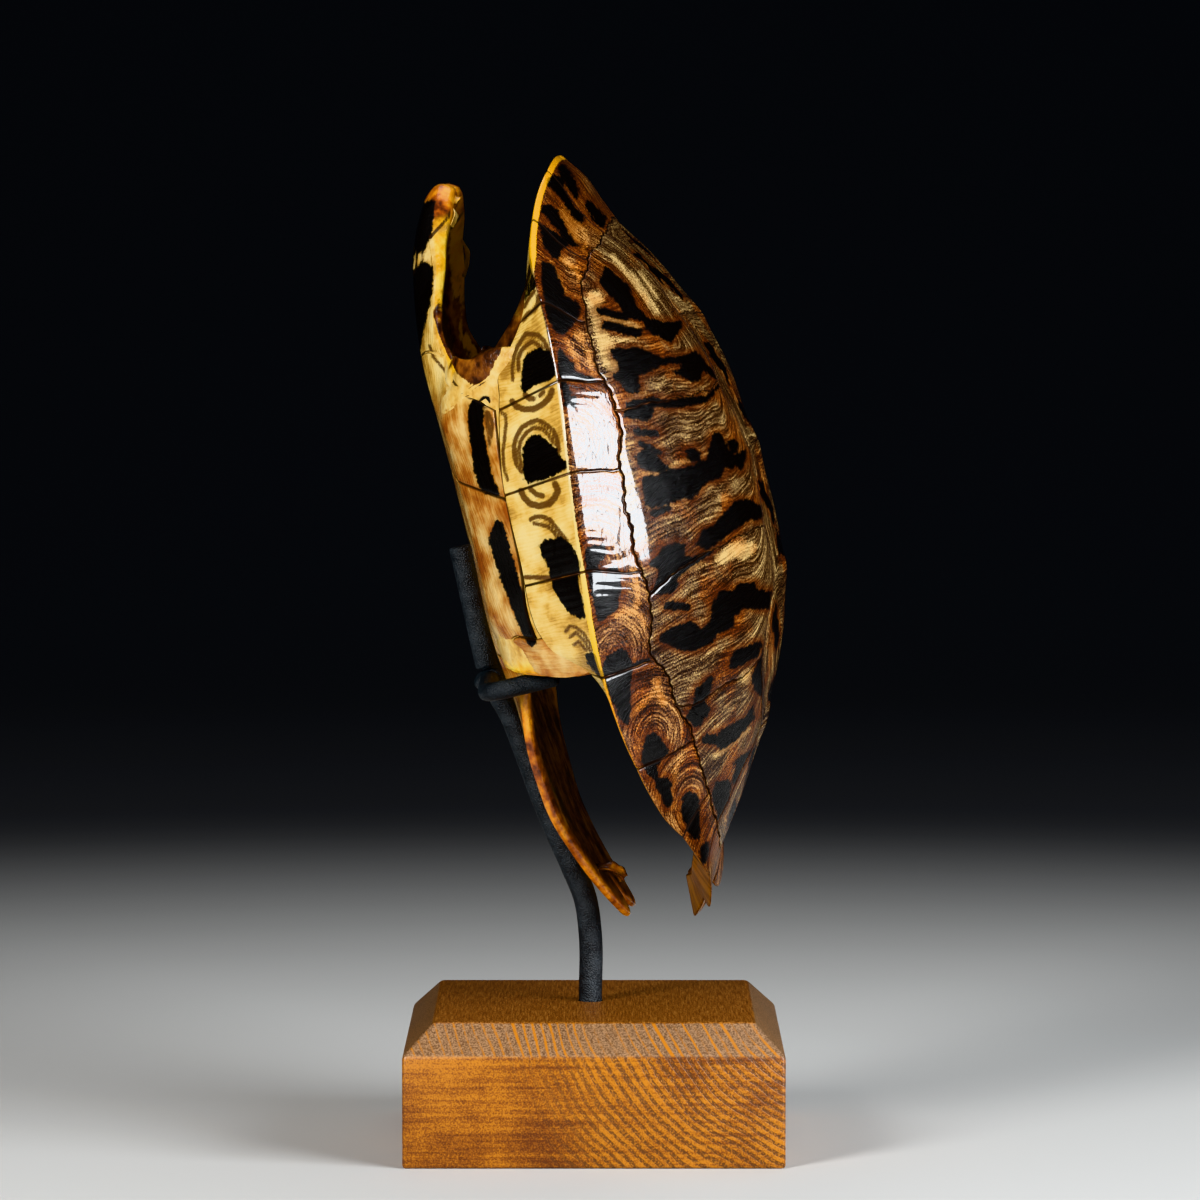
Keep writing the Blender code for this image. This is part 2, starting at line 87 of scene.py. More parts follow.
FLANGE_HEIGHT = ((104, 46), (88, 37), (76, 33.4), (67.5, 29.8), (62, 25.1), (58.5, 21.4), (50, 18.8),
                 (40, 16.3), (29, 14.1), (0, 12.2), (-9, 11.4), (-17, 12.2), (-24, 15.7),
                 (-29, 21.6), (-36, 25), (-50, 26.3), (-70, 29.2), (-86, 34.2), (-100, 29))
BRIDGE_FRONT, BRIDGE_REAR, BRIDGE_BLEND = 50.0, -26.0, 10.0
NOTCH_LIP = ((104, 0), (82, 0), (73, 0.7), (66, 1), (54, 1), (45, 0), (-100, 0))
NOTCH_LIP_REACH = (4.0, 1.6, -3.6)
LIP_INSET, LIP_RISE, WALL_INSET, WALL_RISE = 1.6, 2.6, 3.6, 3.2

# Plastron form
PLASTRON_OUTLINE = ((99.5, 0), (102.5, 4), (102.8, 9), (99.8, 14.5), (93, 20.5), (84, 26.5), (73, 32.5),
                    (64, 37), (57.5, 41.5), (53.5, 47.5), (51.2, 54), (52, 59.5), (50, 63.5), (44, 65),
                    (22, 66), (0, 66), (-17, 67), (-28.5, 71.5), (-29, 66), (-24.8, 56), (-20.5, 46),
                    (-23.5, 42.5), (-32, 41.2), (-46, 39.5), (-60, 35.5), (-71, 30.5), (-75, 28),
                    (-84, 23.5), (-93, 17.5), (-98, 11), (-95.5, 5), (-89.5, 0))
OUTLINE_CORNERS = (4, 11, 17, 20, 26, 29)
PLASTRON_SPINE_SHARE = 0.33
PLASTRON_KEEL = ((104, 9.0), (99.5, 6.6), (95, 4.6), (88, 2.2), (79, 0.1), (66, -2.1),
                 (30, -3.4), (8, -4.2), (-18, -5.0), (-34, -3.4), (-44, -2.8), (-56, -1.8),
                 (-66, -1.2), (-74, 0.2), (-86, 3.2), (-98, 7.6))
PLASTRON_FLAT = 42.0
PLASTRON_CROWN = ((104, 3.2), (-20, 3.2), (-45, 1.6), (-98, 1.5))
BRIDGE_CURVE, BRIDGE_OVERLAP = 1.7, 1.4
ROLL = ((104, 1.5), (98, 2.5), (90, 5.4), (84, 6.2), (73, 4.8), (66, 4.2), (58, 5.4), (54, 4.2),
        (51, 2), (44, 0), (-15, 0), (-20.5, 2.6), (-23, 4.4), (-26, 4.8), (-31, 2.4), (-40, 0.5), (-98, 0.5))
ROLL_WIDTH, ROLL_END = 12.0, 60.0
PLASTRON_THICKNESS = 3.2
LIP_THICKNESS = ((104, 9.5), (97, 9), (90, 5.5), (84, 4.2), (66, 3.0), (46, 3.2), (-24, 3.2), (-98, 2.4))
BUTTRESS_FRONT, BUTTRESS_REAR = 8.0, 0.6

# Shares from the middle to the rim at which a section has points
OUTER_STEPS = (0, 0.08, 0.16, 0.24, 0.32, 0.4, 0.48, 0.56, 0.64, 0.7, 0.76, 0.81, 0.86, 0.9, 0.93,
               0.955, 0.975, 0.99, 1)
INNER_STEPS = (0.86, 0.8, 0.73, 0.65, 0.56, 0.47, 0.38, 0.29, 0.2, 0.1, 0)
PLATE_OUTER_STEPS = (0, 0.12, 0.24, 0.36, 0.48, 0.6, 0.7, 0.78, 0.85, 0.91, 0.96, 1)
PLATE_INNER_STEPS = (0.985, 0.96, 0.93, 0.89, 0.84, 0.78, 0.71, 0.63, 0.54, 0.44, 0.33, 0.22, 0.1, 0)

# Seams of the horn plates on the left half, as (a, l)
MARGIN_SEAM = ((84, 0), (83.6, 8), (82.2, 17), (80.2, 26.3), (78.6, 33), (76.8, 40), (74.6, 46.2),
               (67.5, 56.3), (58.8, 62.1), (47.7, 66.4), (43, 67), (34.8, 66.9), (19.7, 70.2),
               (2.2, 71.1), (-7, 70.3), (-13.5, 68.8), (-30.2, 67.4), (-32.4, 65.9), (-43.5, 60.5),
               (-55.1, 52.6), (-63, 47.5), (-79.2, 31.3), (-84, 22), (-87, 12), (-88, 0))
SPINE_SEAM = ((80.2, 26.3), (78, 24.7), (69.6, 23), (54.4, 24.2), (45, 23), (34, 22.4), (24, 18.2),
              (14.6, 14.6), (3, 18.2), (-6.2, 20.6), (-14, 19.6), (-22, 17.6), (-26.5, 21),
              (-39.2, 24.6), (-46, 21.4), (-51.6, 16.8), (-59, 8.4))
COSTAL_SEAMS = (((34.8, 66.9), (33.9, 57), (32.9, 41.9), (32.8, 30), (34, 22.4)),
                ((-13.5, 68.8), (-9.4, 60), (-7.9, 51.1), (-7.1, 44.4), (-6.4, 32), (-6.2, 20.6)),
                ((-43.5, 60.5), (-45.6, 54), (-43.6, 47.9), (-43.1, 39.9), (-42, 31), (-39.2, 24.6)),
                ((-79.2, 31.3), (-70, 21.5), (-63, 12.8), (-59, 8.4)))
VERTEBRAL_SEAMS = (((54.4, 24.2), (53.6, 12), (52.6, 0)), ((14.6, 14.6), (15.4, 7), (15.8, 0)),
                   ((-22, 17.6), (-21.2, 8), (-20.8, 0)), ((-59, 8.4), (-58.6, 4), (-58.4, 0)))

# Where the seams between the rim plates meet the seam above them: stations a, and the first place
MARGIN_TOPS = (84, 80.2, 74.6, 58.3, 43, 19.7, -7, -30.2, -54, -70, -79.2, -86)
NUCHAL_CORNER = (83.9, 4.5)

# Seams of the plastron: gular, humeral, axillary, pectoral, abdominal, inguinal and anal
PLASTRAL_SEAMS = (((93.6, 20.2), (88.2, 18.6), (82, 10), (78, 0)),
                  ((60.5, 39.4), (62.6, 33), (61, 18), (58, 0)),
                  ((60.5, 39.4), (57.4, 40.6), (50.3, 51.8), (47, 56.7), (43.5, 60.6)),
                  ((20.3, 63.2), (25.3, 53.1), (29.5, 33.6), (31, 15), (31.6, 0)),
                  ((-22.4, 44), (-19.6, 30), (-18, 14), (-18, 0)),
                  ((-17, 62.6), (-15.4, 56), (-20.9, 47.2)),
                  ((-74.6, 28.2), (-70, 16), (-63, 6), (-61, 0)))
BRIDGE_SEAM = ((43.5, 60.6), (35.6, 61.9), (27.9, 62.9), (20.3, 63.2), (9.5, 62.9), (-1.1, 62.7),
               (-11.5, 62.0), (-17, 62.6))


def through(x, stations):
    """Smooth curve through (x, y) stations, level past its ends."""
    points = np.array(sorted(stations), float)
    xs, ys = points[:, 0], points[:, 1]
    gaps = np.diff(xs)
    slopes = np.diff(ys) / gaps
    tangents = np.concatenate((slopes[:1], slopes, slopes[-1:]))[:len(xs)]
    tangents[1:-1] = (slopes[:-1] * gaps[1:] + slopes[1:] * gaps[:-1]) / (gaps[1:] + gaps[:-1])
    tangents[-1] = slopes[-1]
    x = np.clip(np.asarray(x, float), xs[0], xs[-1])
    i = np.clip(np.searchsorted(xs, x, side="right") - 1, 0, len(xs) - 2)
    t = (x - xs[i]) / gaps[i]
    rise = 3 * t ** 2 - 2 * t ** 3
    return (ys[i] + rise * (ys[i + 1] - ys[i])
            + (t ** 3 - 2 * t ** 2 + t) * gaps[i] * tangents[i]
            + (t ** 3 - t ** 2) * gaps[i] * tangents[i + 1])


def smooth_step(x):
    """Ease from 0 to 1 as x goes from 0 to 1."""
    x = np.clip(x, 0, 1)
    return x * x * (3 - 2 * x)


def unit(vectors):
    """Vectors at length one."""
    return vectors / np.maximum(np.linalg.norm(vectors, axis=-1, keepdims=True), 1e-9)


def runs(points):
    """Length run along a line of points, up to each of them."""
    return np.concatenate(((0,), np.cumsum(np.linalg.norm(np.diff(points, axis=0), axis=1))))


def along_line(points, count):
    """Evenly spaced points on the smooth curve through a line's own points."""
    points = np.array(points, float)
    chord = runs(points)
    at = np.linspace(0, chord[-1], count)
    return np.column_stack([through(at, list(zip(chord, axis))) for axis in points.T])


def segment_gap(points, start, end):
    """Distance of points from the nearest of some straight stretches."""
    step = end - start
    length = np.maximum(np.sum(step ** 2, axis=1), 1e-9)
    gaps = []
    for chunk in range(0, len(points), CHUNK):
        offset = points[chunk:chunk + CHUNK, None] - start
        share = np.clip(np.sum(offset * step, axis=2) / length, 0, 1)
        gaps.append(np.linalg.norm(offset - share[..., None] * step, axis=2).min(axis=1))
    return np.concatenate(gaps)


def half_width(a):
    """Half width of the carapace at a station along its length."""
    a = np.asarray(a, float)
    front = a > A_WIDEST
    reach = np.where(front, A_FRONT - A_WIDEST, A_WIDEST - A_REAR)
    power = np.where(front, FRONT_POWER, REAR_POWER)
    share = np.clip(np.abs(a - A_WIDEST) / reach, 0, 1)
    return HALF_WIDTH * np.maximum(1 - share ** power, 0) ** (1 / power)


def keel(a, l):
    """Low knobs along the middle of the back."""
    height = sum(np.exp(-((a - knob) / KNOB_LENGTH) ** 2) for knob in KNOBS)
    return KNOB_HEIGHT * height * np.exp(-(l / KNOB_LENGTH) ** 2)


def dome(a, l):
    """Height of the carapace's outer face."""
    share = np.clip(np.abs(l) / np.maximum(half_width(a), 0.001), 0, 1)
    rim, ridge = through(a, RIM), through(a, RIDGE)
    return rim + (ridge - rim) * (1 - share ** 2) ** through(a, DOME_POWER) + keel(a, l)


def slope_normal(slope_a, slope_l):
    """Unit normal, pointing up, of a place with given slopes."""
    return unit(np.stack((-slope_a, -slope_l, np.ones_like(slope_a)), axis=-1))


def face_normal(face, a, l, side):
    """Unit normal of a height field, pointing to its outer side."""
    step = 0.4
    slope_a = (face(a + step, l) - face(a - step, l)) / (2 * step)
    slope_l = (face(a, l + step) - face(a, l - step)) / (2 * step)
    return slope_normal(slope_a, slope_l) * side


def dome_normal(a, l):
    """Unit normal of the carapace's outer face, pointing out."""
    step = 0.5
    slope_a = (dome(a + step, l) - dome(a - step, l)) / (2 * step)
    inward = np.maximum(l - step, 0)
    slope_l = (dome(a, l) - dome(a, inward)) / np.maximum(l - inward, 0.001)
    return slope_normal(slope_a, np.where(l > step, slope_l, 0))


def toward(core, points, amount):
    """Points moved toward a core, but never most of the way."""
    away = points - core
    reach = np.linalg.norm(away, axis=-1, keepdims=True)
    return core + away * np.maximum(1 - amount / np.maximum(reach, 0.01), 0.3)


def rim_curve():
    """Dense half rim in plan, from the front of the midline to its rear, with its arc lengths."""
    angle = np.linspace(0, math.pi, 4001)
    front = np.cos(angle) > 0
    power = np.where(front, FRONT_POWER, REAR_POWER)
    reach = np.where(front, A_FRONT - A_WIDEST, A_REAR - A_WIDEST)
    a = A_WIDEST + reach * np.abs(np.cos(angle)) ** (2 / power)
    l = HALF_WIDTH * np.abs(np.sin(angle)) ** (2 / power)
    return a, l, runs(np.column_stack((a, l)))


RIM_A, RIM_L, RIM_ARC = rim_curve()
PLATE_ARCS = (0,) + MARGINAL_ENDS + (float(RIM_ARC[-1]),)


def rim_frame(arcs):
    """Rim points in plan and their outward directions at given arc lengths."""
    behind, base, ahead = (np.stack((np.interp(at, RIM_ARC, RIM_A), np.interp(at, RIM_ARC, RIM_L)), axis=-1)
                           for at in (arcs - 0.5, arcs, arcs + 0.5))
    along = unit(ahead - behind)
    outward = np.stack((-along[..., 1], along[..., 0]), axis=-1)
    outward *= np.sign(np.sum(outward * (base - (A_WIDEST, 0)), axis=-1, keepdims=True))
    outward[arcs <= 0.0] = (1, 0)
    outward[arcs >= RIM_ARC[-1] - 0.0001] = (-1, 0)
    return base, outward


def tooth_at(arcs):
    """How far the marginal plates stand out and droop at given arc lengths."""
    plate = np.clip(np.searchsorted(PLATE_ARCS, arcs, side="right") - 1, 0, len(TOOTH) - 1)
    start, end = np.array(PLATE_ARCS)[plate], np.array(PLATE_ARCS)[plate + 1]
    share = np.clip((arcs - start) / (end - start), 0, 1)
    skew = np.where(plate >= len(TOOTH) - 2, 1 / TAIL_SKEW, 1)
    bump = np.maximum(np.sin(math.pi * share ** skew), 0)
    return np.array(TOOTH)[plate] * bump ** 0.7, np.array(DROOP)[plate] * bump


def rim_section(arcs, shares):
    """Points of the carapace's outer face at arc lengths and shares from spine to rim."""
    base, outward = rim_frame(arcs)
    teeth, droops = tooth_at(arcs)
    spine = np.stack((base[..., 0] * SPINE_SHARE, np.zeros(base.shape[:-1])), axis=-1)
    plan = spine + (base - spine) * shares[..., None]
    lift = shares ** TOOTH_SHARPNESS
    height = dome(plan[..., 0], plan[..., 1]) + droops * lift
    plan = plan + outward * (teeth * lift)[..., None]
    return np.concatenate((plan, height[..., None]), axis=-1)


def flange_edge(arcs):
    """Inner edge of the carapace's underside at given arc lengths."""
    base, outward = rim_frame(arcs)
    width = through(base[..., 0], FLANGE_WIDTH)
    droops = tooth_at(arcs)[1]
    height = through(base[..., 0], FLANGE_HEIGHT) + 0.5 * droops
    return np.concatenate((base - outward * width[..., None], height[..., None]), axis=-1)


def column_arcs(per_plate):
    """Arc positions with a column on each seam and an even count between seams."""
    arcs = [0.0]
    for start, end in zip(PLATE_ARCS[:-1], PLATE_ARCS[1:]):
        count = max(2, round(per_plate * (end - start) / 25))
        arcs.extend(start + (end - start) * (step + 1) / count for step in range(count))
    return np.array(arcs)


def carapace_bone_rows(sink):
    """Closed section of the bone under the plates at each column."""
    arcs = column_arcs(20)
    base, outward = rim_frame(arcs)
    spine = np.stack((base[:, 0] * SPINE_SHARE, np.zeros(len(base))), axis=-1)
    outer = [rim_section(arcs, np.full(len(arcs), float(s))) for s in OUTER_STEPS]
    edge = flange_edge(arcs)
    rows = [*outer, (outer[-1] + edge) / 2, edge]
    core = (rim_section(arcs, np.full(len(arcs), 0.9)) + outer[-1] + edge) / 3
    sunk = []
    for number, row in enumerate(rows):
        if number < OUTER_STEPS.index(0.9):
            moved = row - sink * dome_normal(row[:, 0], row[:, 1])
        else:
            moved = toward(core, row, sink)
            if row is rows[-1]:
                moved = row + (moved - row) * 0.6
        sunk.append(moved)
    width = through(base[:, 0], FLANGE_WIDTH)
    inner = []
    reach = np.linalg.norm(base - spine, axis=-1)
    for s in INNER_STEPS:
        share = s / INNER_STEPS[0] * np.minimum(INNER_STEPS[0], 1 - (width * 0.6 + 5) / reach)
        plan = spine + (base - spine) * share[:, None]
        face = np.column_stack((plan, dome(plan[:, 0], plan[:, 1])))
        inner.append(face - SHELL_THICKNESS * dome_normal(plan[:, 0], plan[:, 1]))
    bridge = (smooth_step((BRIDGE_FRONT + BRIDGE_BLEND - base[:, 0]) / BRIDGE_BLEND)
              * smooth_step((base[:, 0] - BRIDGE_REAR + BRIDGE_BLEND) / BRIDGE_BLEND))[:, None]
    notch = through(base[:, 0], NOTCH_LIP)
    lip = np.column_stack((edge[:, :2] - outward * (LIP_INSET + NOTCH_LIP_REACH[1] * notch)[:, None],
                           edge[:, 2] + LIP_RISE + NOTCH_LIP_REACH[2] * notch))
    lip[:, 0] += NOTCH_LIP_REACH[0] * notch
    wall = rows[-2] + np.column_stack((-outward * WALL_INSET, np.full(len(edge), WALL_RISE)))
    free_wall = lip + (inner[0] - lip) * 0.4
    wall = free_wall + (wall - free_wall) * bridge
    wall[:, 0] += 0.5 * NOTCH_LIP_REACH[0] * notch
    return np.array(sunk + [lip, (lip + wall) / 2, wall] + inner)


def plastron_edge(count):
    """Points along the plastron's outline, with its sharp corners kept."""
    points = np.array(PLASTRON_OUTLINE, float)
    chord = runs(points)
    at = np.linspace(0, chord[-1], count)
    at = np.unique(np.concatenate((at, chord[list(OUTLINE_CORNERS)])))
    a, l = (through(at, list(zip(chord, axis))) for axis in points.T)
    l = np.maximum(l, 0)
    l[[0, -1]] = 0
    return np.column_stack((a, l))


OUTLINE = plastron_edge(500)


def outline_distance(a, l):
    """Distance in plan from the plastron's outline, and the nearest outline point."""
    flat_a, flat_l = np.ravel(a), np.abs(np.ravel(l))
    gap = np.hypot(flat_a[:, None] - OUTLINE[None, :, 0], flat_l[:, None] - OUTLINE[None, :, 1])
    nearest = gap.argmin(axis=1)
    return gap.min(axis=1).reshape(np.shape(a)), OUTLINE[nearest].reshape(np.shape(a) + (2,))


def plastron_face(a, l):
    """Height of the plastron's and bridge's outer face, without the rolled rim."""
    l = np.abs(l)
    share = np.minimum(l, PLASTRON_FLAT) / PLASTRON_FLAT
    flat = through(a, PLASTRON_KEEL) + through(a, PLASTRON_CROWN) * share ** 2
    seam_l = half_width(a) - through(a, FLANGE_WIDTH)
    rise = np.maximum(l - PLASTRON_FLAT, 0) / np.maximum(seam_l - PLASTRON_FLAT, 5)
    return flat + (through(a, FLANGE_HEIGHT) - flat) * rise ** BRIDGE_CURVE


def belly(a, l):
    """Height of the plastron's outer face with its rolled rim."""
    gap, nearest = outline_distance(a, l)
    roll = through(nearest[..., 0], ROLL) * np.clip((ROLL_END - nearest[..., 1]) / ROLL_WIDTH, 0, 1)
    return plastron_face(a, l) + roll * np.clip(1 - gap / ROLL_WIDTH, 0, 1) ** 1.5


def plastron_bone_rows(sink):
    """Closed section of the plastron's bone at each column of its outline."""
    edge = plastron_edge(460)
    a, l = edge.T
    spine = np.column_stack((a * PLASTRON_SPINE_SHARE, np.zeros(len(a))))
    reach = np.linalg.norm(edge - spine, axis=-1)
    across = (edge - spine) / reach[:, None]
    buried = np.clip((l - 58) / 4, 0, 1)
    roll = through(a, ROLL) * np.clip((ROLL_END - l) / ROLL_WIDTH, 0, 1)

    def outer_height(plan, s):
        rolled = roll * np.clip(1 - (1 - s) * reach / ROLL_WIDTH, 0, 1) ** 1.5
        return plastron_face(plan[:, 0], plan[:, 1]) + rolled + BRIDGE_OVERLAP * buried * s ** 8

    rows = []
    for s in PLATE_OUTER_STEPS:
        plan = spine + (edge - spine) * s
        rows.append(np.column_stack((plan, outer_height(plan, s) + sink * (1 - s ** 12))))
    lip = through(a, LIP_THICKNESS)
    shift = (BUTTRESS_FRONT * np.exp(-((a - 52) / 5) ** 2)
             - BUTTRESS_REAR * np.exp(-((a + 24) / 5) ** 2)) * smooth_step((l - 36) / 10)
    for turn in np.linspace(0.08, 0.92, 12):
        bulge = 0.25 * math.sin(math.pi * turn)
        middle = rows[len(PLATE_OUTER_STEPS) - 1] + np.column_stack(
            (across * (bulge * lip)[:, None], 0.9 * turn * lip))
        middle[:, 0] += shift * 0.9 * turn
        middle[:, 1] = np.maximum(middle[:, 1], 0)
        middle[[0, -1], 1] = 0
        rows.append(middle)
    for s in PLATE_INNER_STEPS:
        plan = spine + (edge - spine) * s
        rise = PLASTRON_THICKNESS + (lip - PLASTRON_THICKNESS) * s ** 6
        height = outer_height(plan, s) + rise
        plan[:, 0] += shift * s ** 3
        plan[:, 1] -= np.clip((plan[:, 1] - PLASTRON_FLAT) / 20, 0, 1) * PLASTRON_THICKNESS
        rows.append(np.column_stack((plan, height)))
    return np.array(rows)


def to_world(points):
    """Shell frame in millimetres to world frame in metres."""
    lean, turn = SHELL_LEAN, SHELL_TURN
    head = np.array((-math.sin(lean) * math.cos(turn), math.sin(lean) * math.sin(turn), math.cos(lean)))
    left = np.array((-math.sin(turn), -math.cos(turn), 0))
    back = np.cross(head, left)
    return (np.array(SHELL_ORIGIN) + points @ np.array((head, left, back))) * MM


class Patch:
    """Points, faces and painted values of one piece, gathered plate by plate."""

    def __init__(self):
        self.points = []
        self.faces = []
        self.layers = {"grain": [], "mark": [], "form": []}
        self.count = 0

    def add(self, points, faces, mirror=False, **layers):
        """Add one closed plate, or its mirror image on the turtle's right."""
        points = np.array(points, float)
        if mirror:
            points[:, 1] *= -1
            faces = [face[::-1] for face in faces]
        self.points.append(points)
        self.faces.extend([tuple(v + self.count for v in face) for face in faces])
        for name, store in self.layers.items():
            store.append(np.asarray(layers.get(name, np.zeros((len(points), 3))), float))
        self.count += len(points)

    def mesh(self, name):
        """Mesh in the world frame with its attributes."""
        mesh = bpy.data.meshes.new(name)
        mesh.from_pydata(to_world(np.concatenate(self.points)).tolist(), [], self.faces)
        for layer, store in self.layers.items():
            attribute = mesh.attributes.new(layer, "FLOAT_VECTOR", "POINT")
            attribute.data.foreach_set("vector", np.concatenate(store).astype(np.float32).ravel())
        mesh.update()
        mesh.shade_smooth()
        return mesh


def linked(name, data):
    """New object in the scene."""
    made = bpy.data.objects.new(name, data)
    bpy.context.scene.collection.objects.link(made)
    return made


def mesh_from(bm, name):
    """Mesh of a finished bmesh."""
    mesh = bpy.data.meshes.new(name)
    bm.to_mesh(mesh)
    bm.free()
    return mesh


def plain_mesh(piece, name):
    """Plain mesh of a piece with its modifier applied, in place of the piece."""
    bpy.context.view_layer.update()
    made = bpy.data.meshes.new_from_object(piece.evaluated_get(bpy.context.evaluated_depsgraph_get()))
    made.name = name
    bpy.data.objects.remove(piece)
    return made


def new_piece(name, mesh, material, slot, *nodes):
    """Link a finished piece, give it its material, hang it on the root body and hide the solids it stands
    for.
    """
    piece = linked(name, mesh)
    mesh.materials.clear()
    mesh.materials.append(material)
    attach(piece, "root")
    if nodes:
        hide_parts(*nodes)
    return piece


def merged(mesh):
    """Merge doubles and turn the faces outward."""
    bm = bmesh.new()
    bm.from_mesh(mesh)
    bmesh.ops.remove_doubles(bm, verts=bm.verts, dist=MERGE_DISTANCE)
    bmesh.ops.dissolve_degenerate(bm, edges=bm.edges, dist=SLIVER_LENGTH)
    bmesh.ops.recalc_face_normals(bm, faces=bm.faces)
    bm.to_mesh(mesh)
    bm.free()
    mesh.shade_smooth()
    return mesh


def quads(rows, columns, shift=0, closed=False):
    """Quads between rows of points that are open lines or closed rings, as index tuples."""
    faces = []
    for r in range(shift, shift + (rows - 1) * columns, columns):
        for c in range(columns if closed else columns - 1):
            d = (c + 1) % columns
            faces.append((r + c, r + d, r + columns + d, r + columns + c))
    return faces


def turned(faces):
    """Quads that face the other way."""
    return [(a, d, c, b) for a, b, c, d in faces]


def walls(loop, shift):
    """Quads that join a closed loop of points to its copy further on."""
    return [(v, u, u + shift, v + shift) for u, v in zip(loop, loop[1:] + loop[:1])]


def bone_mesh(name, rows, painted):
    """Closed bone from rows of points on one half, joined to its mirror image."""
    row_count, column_count = rows.shape[:2]
    patch = Patch()
    flat = rows.reshape(-1, 3)
    form, mark = painted(flat)
    for mirror in (False, True):
        patch.add(flat, turned(quads(row_count, column_count)), mirror=mirror, form=form, mark=mark)
    return merged(patch.mesh(name))


def polyline(points, spacing=1.0):
    """Points about evenly spaced along a smoothed polyline in plan."""
    return along_line(points, max(2, round(runs(points)[-1] / spacing) + 1))


def wander(points):
    """Small shared waviness of the seams, by place."""
    a, l = points[:, 0], points[:, 1]
    da = 0.30 * np.sin(0.55 * l + 0.21 * a) + 0.20 * np.sin(1.9 * l - 0.4 * a + 1.3)
    dl = 0.30 * np.sin(0.50 * a - 0.17 * l + 2.1) + 0.20 * np.sin(1.8 * a + 0.5 * l)
    fade = np.clip(np.abs(l) / 6, 0, 1)
    return points + np.column_stack((da * fade, dl * fade))


def spaced(border):
    """Closed border without nearly doubled points."""
    return border[np.hypot(*(np.roll(border, -1, axis=0) - border).T) > CLOSEST]


def closed_outline(*sides):
    """Closed border from sides that follow one another, each given as plan points."""
    return spaced(np.concatenate([side[:-1] for side in sides]))


def part_of(line, start, end):
    """Stretch of a seam between the places nearest two points, in that order."""
    line = np.asarray(line, float)
    i = int(np.hypot(*(line - start).T).argmin())
    j = int(np.hypot(*(line - end).T).argmin())
    return line[i:j + 1] if i <= j else line[j:i + 1][::-1]


def shrunk(border, inset):
    """Border moved inward by a small inset."""
    before, after = np.roll(border, 1, axis=0), np.roll(border, -1, axis=0)
    tangent = unit(after - before)
    normal = np.column_stack((-tangent[:, 1], tangent[:, 0]))
    return border + normal * (inset if plan_area(border) > 0 else -inset)


def plan_area(border):
    """Twice the area inside a border, positive where it runs anticlockwise."""
    after = np.roll(border, -1, axis=0)
    return np.sum(border[:, 0] * after[:, 1] - after[:, 0] * border[:, 1])


def path_field(points, blotches, face):
    """Signed depth in millimetres inside the nearest of some blotches along paths."""
    best = np.full(len(points), UNMARKED)
    a, l = points[:, 0], points[:, 1]
    ragged = np.sin(0.85 * a + 0.4 * l) * np.cos(0.7 * l - 0.3 * a) + 0.55 * np.sin(1.7 * a - 1.2 * l)
    for path, radius in blotches:
        path = np.array(path, float)
        path = np.column_stack((path, face(path[:, 0], path[:, 1])))
        best = np.maximum(best, radius - segment_gap(points, path[:-1], path[1:]) + ragged)
    return best


def side_field(points, shapes):
    """Signed depth in millimetres inside the nearest of some shapes drawn in the side view."""
    best = np.full(len(points), UNMARKED)
    view = points[:, (0, 2)]
    for radius, *corners in shapes:
        corners = np.array(corners, float)
        low, high = corners.min(axis=0) - 8, corners.max(axis=0) + 8
        near = np.flatnonzero(np.all((view > low) & (view < high), axis=1))
        if not len(near):
            continue
        spot = view[near]
        if radius:
            gap = segment_gap(spot, corners[:-1], corners[1:])
        else:
            start, end = corners, np.roll(corners, -1, axis=0)
            step = end - start
            step[:, 1][step[:, 1] == 0] = 1e-9
            x, y = spot[:, None, 0], spot[:, None, 1]
            crossed = (start[:, 1] > y) != (end[:, 1] > y)
            crossed &= x < start[:, 0] + (y - start[:, 1]) * step[:, 0] / step[:, 1]
            inside = np.sum(crossed, axis=1) % 2 == 1
            gap = segment_gap(spot, start, end) * np.where(inside, -1, 1)
        best[near] = np.maximum(best[near], radius - gap)
    return best


def edge_profile(depth, round_off, drop):
    """How far the horn falls away at its border."""
    x = np.clip(depth / round_off, 0, 1)
    return drop * (1 - np.sqrt(np.maximum(1 - (1 - x) ** 2, 0)))


# Horn plates in millimetres: thickness, growth ridges, spacing of the points, depths of the rings
# near the border, which of the rings the inside keeps, rows of a rim plate's points, how much less
# the border drops on the back than on the plastron, and the middles of the back's plates
PLATE_THICKNESS, RIM_PLATE_THICKNESS = 1.15, 1.2
RIDGE_HEIGHT, RIDGE_PITCH = 0.02, 2.1
POINT_SPACING, RIM_SPACING, SEAM_SPACING = 0.8, 0.6, 0.8
RING_DEPTHS = (0, 0.12, 0.28, 0.5, 0.85, 1.4, 2.2)
CORE_RING_STRIDE = 4
UPPER_ROWS, EDGE_ROWS = (0, 0.02, 0.05, *np.linspace(0.08, 1, 27)), (0.2, 0.4, 0.6, 0.8)
LOWER_ROWS = (*np.linspace(0, 0.94, 25), 0.97, 1)
BACK_DROP = 0.6
VERTEBRAL_MIDDLES = (66, 30, -5, -42, -74)
COSTAL_MIDDLES = ((52, 40), (11, 44), (-25, 44), (-59, 34))


def seam_gap(points, border):
    """Distance of points from the border where it is a seam, not the plastron's free edge."""
    free = outline_distance(border[:, 0], border[:, 1])[0] < 0.35
    free &= (border[:, 0] > 52) | (border[:, 0] < -20) | (np.abs(border[:, 1]) < 30)
    seam = ~(free & np.roll(free, -1))
    return segment_gap(points, border[seam], np.roll(border, -1, axis=0)[seam])


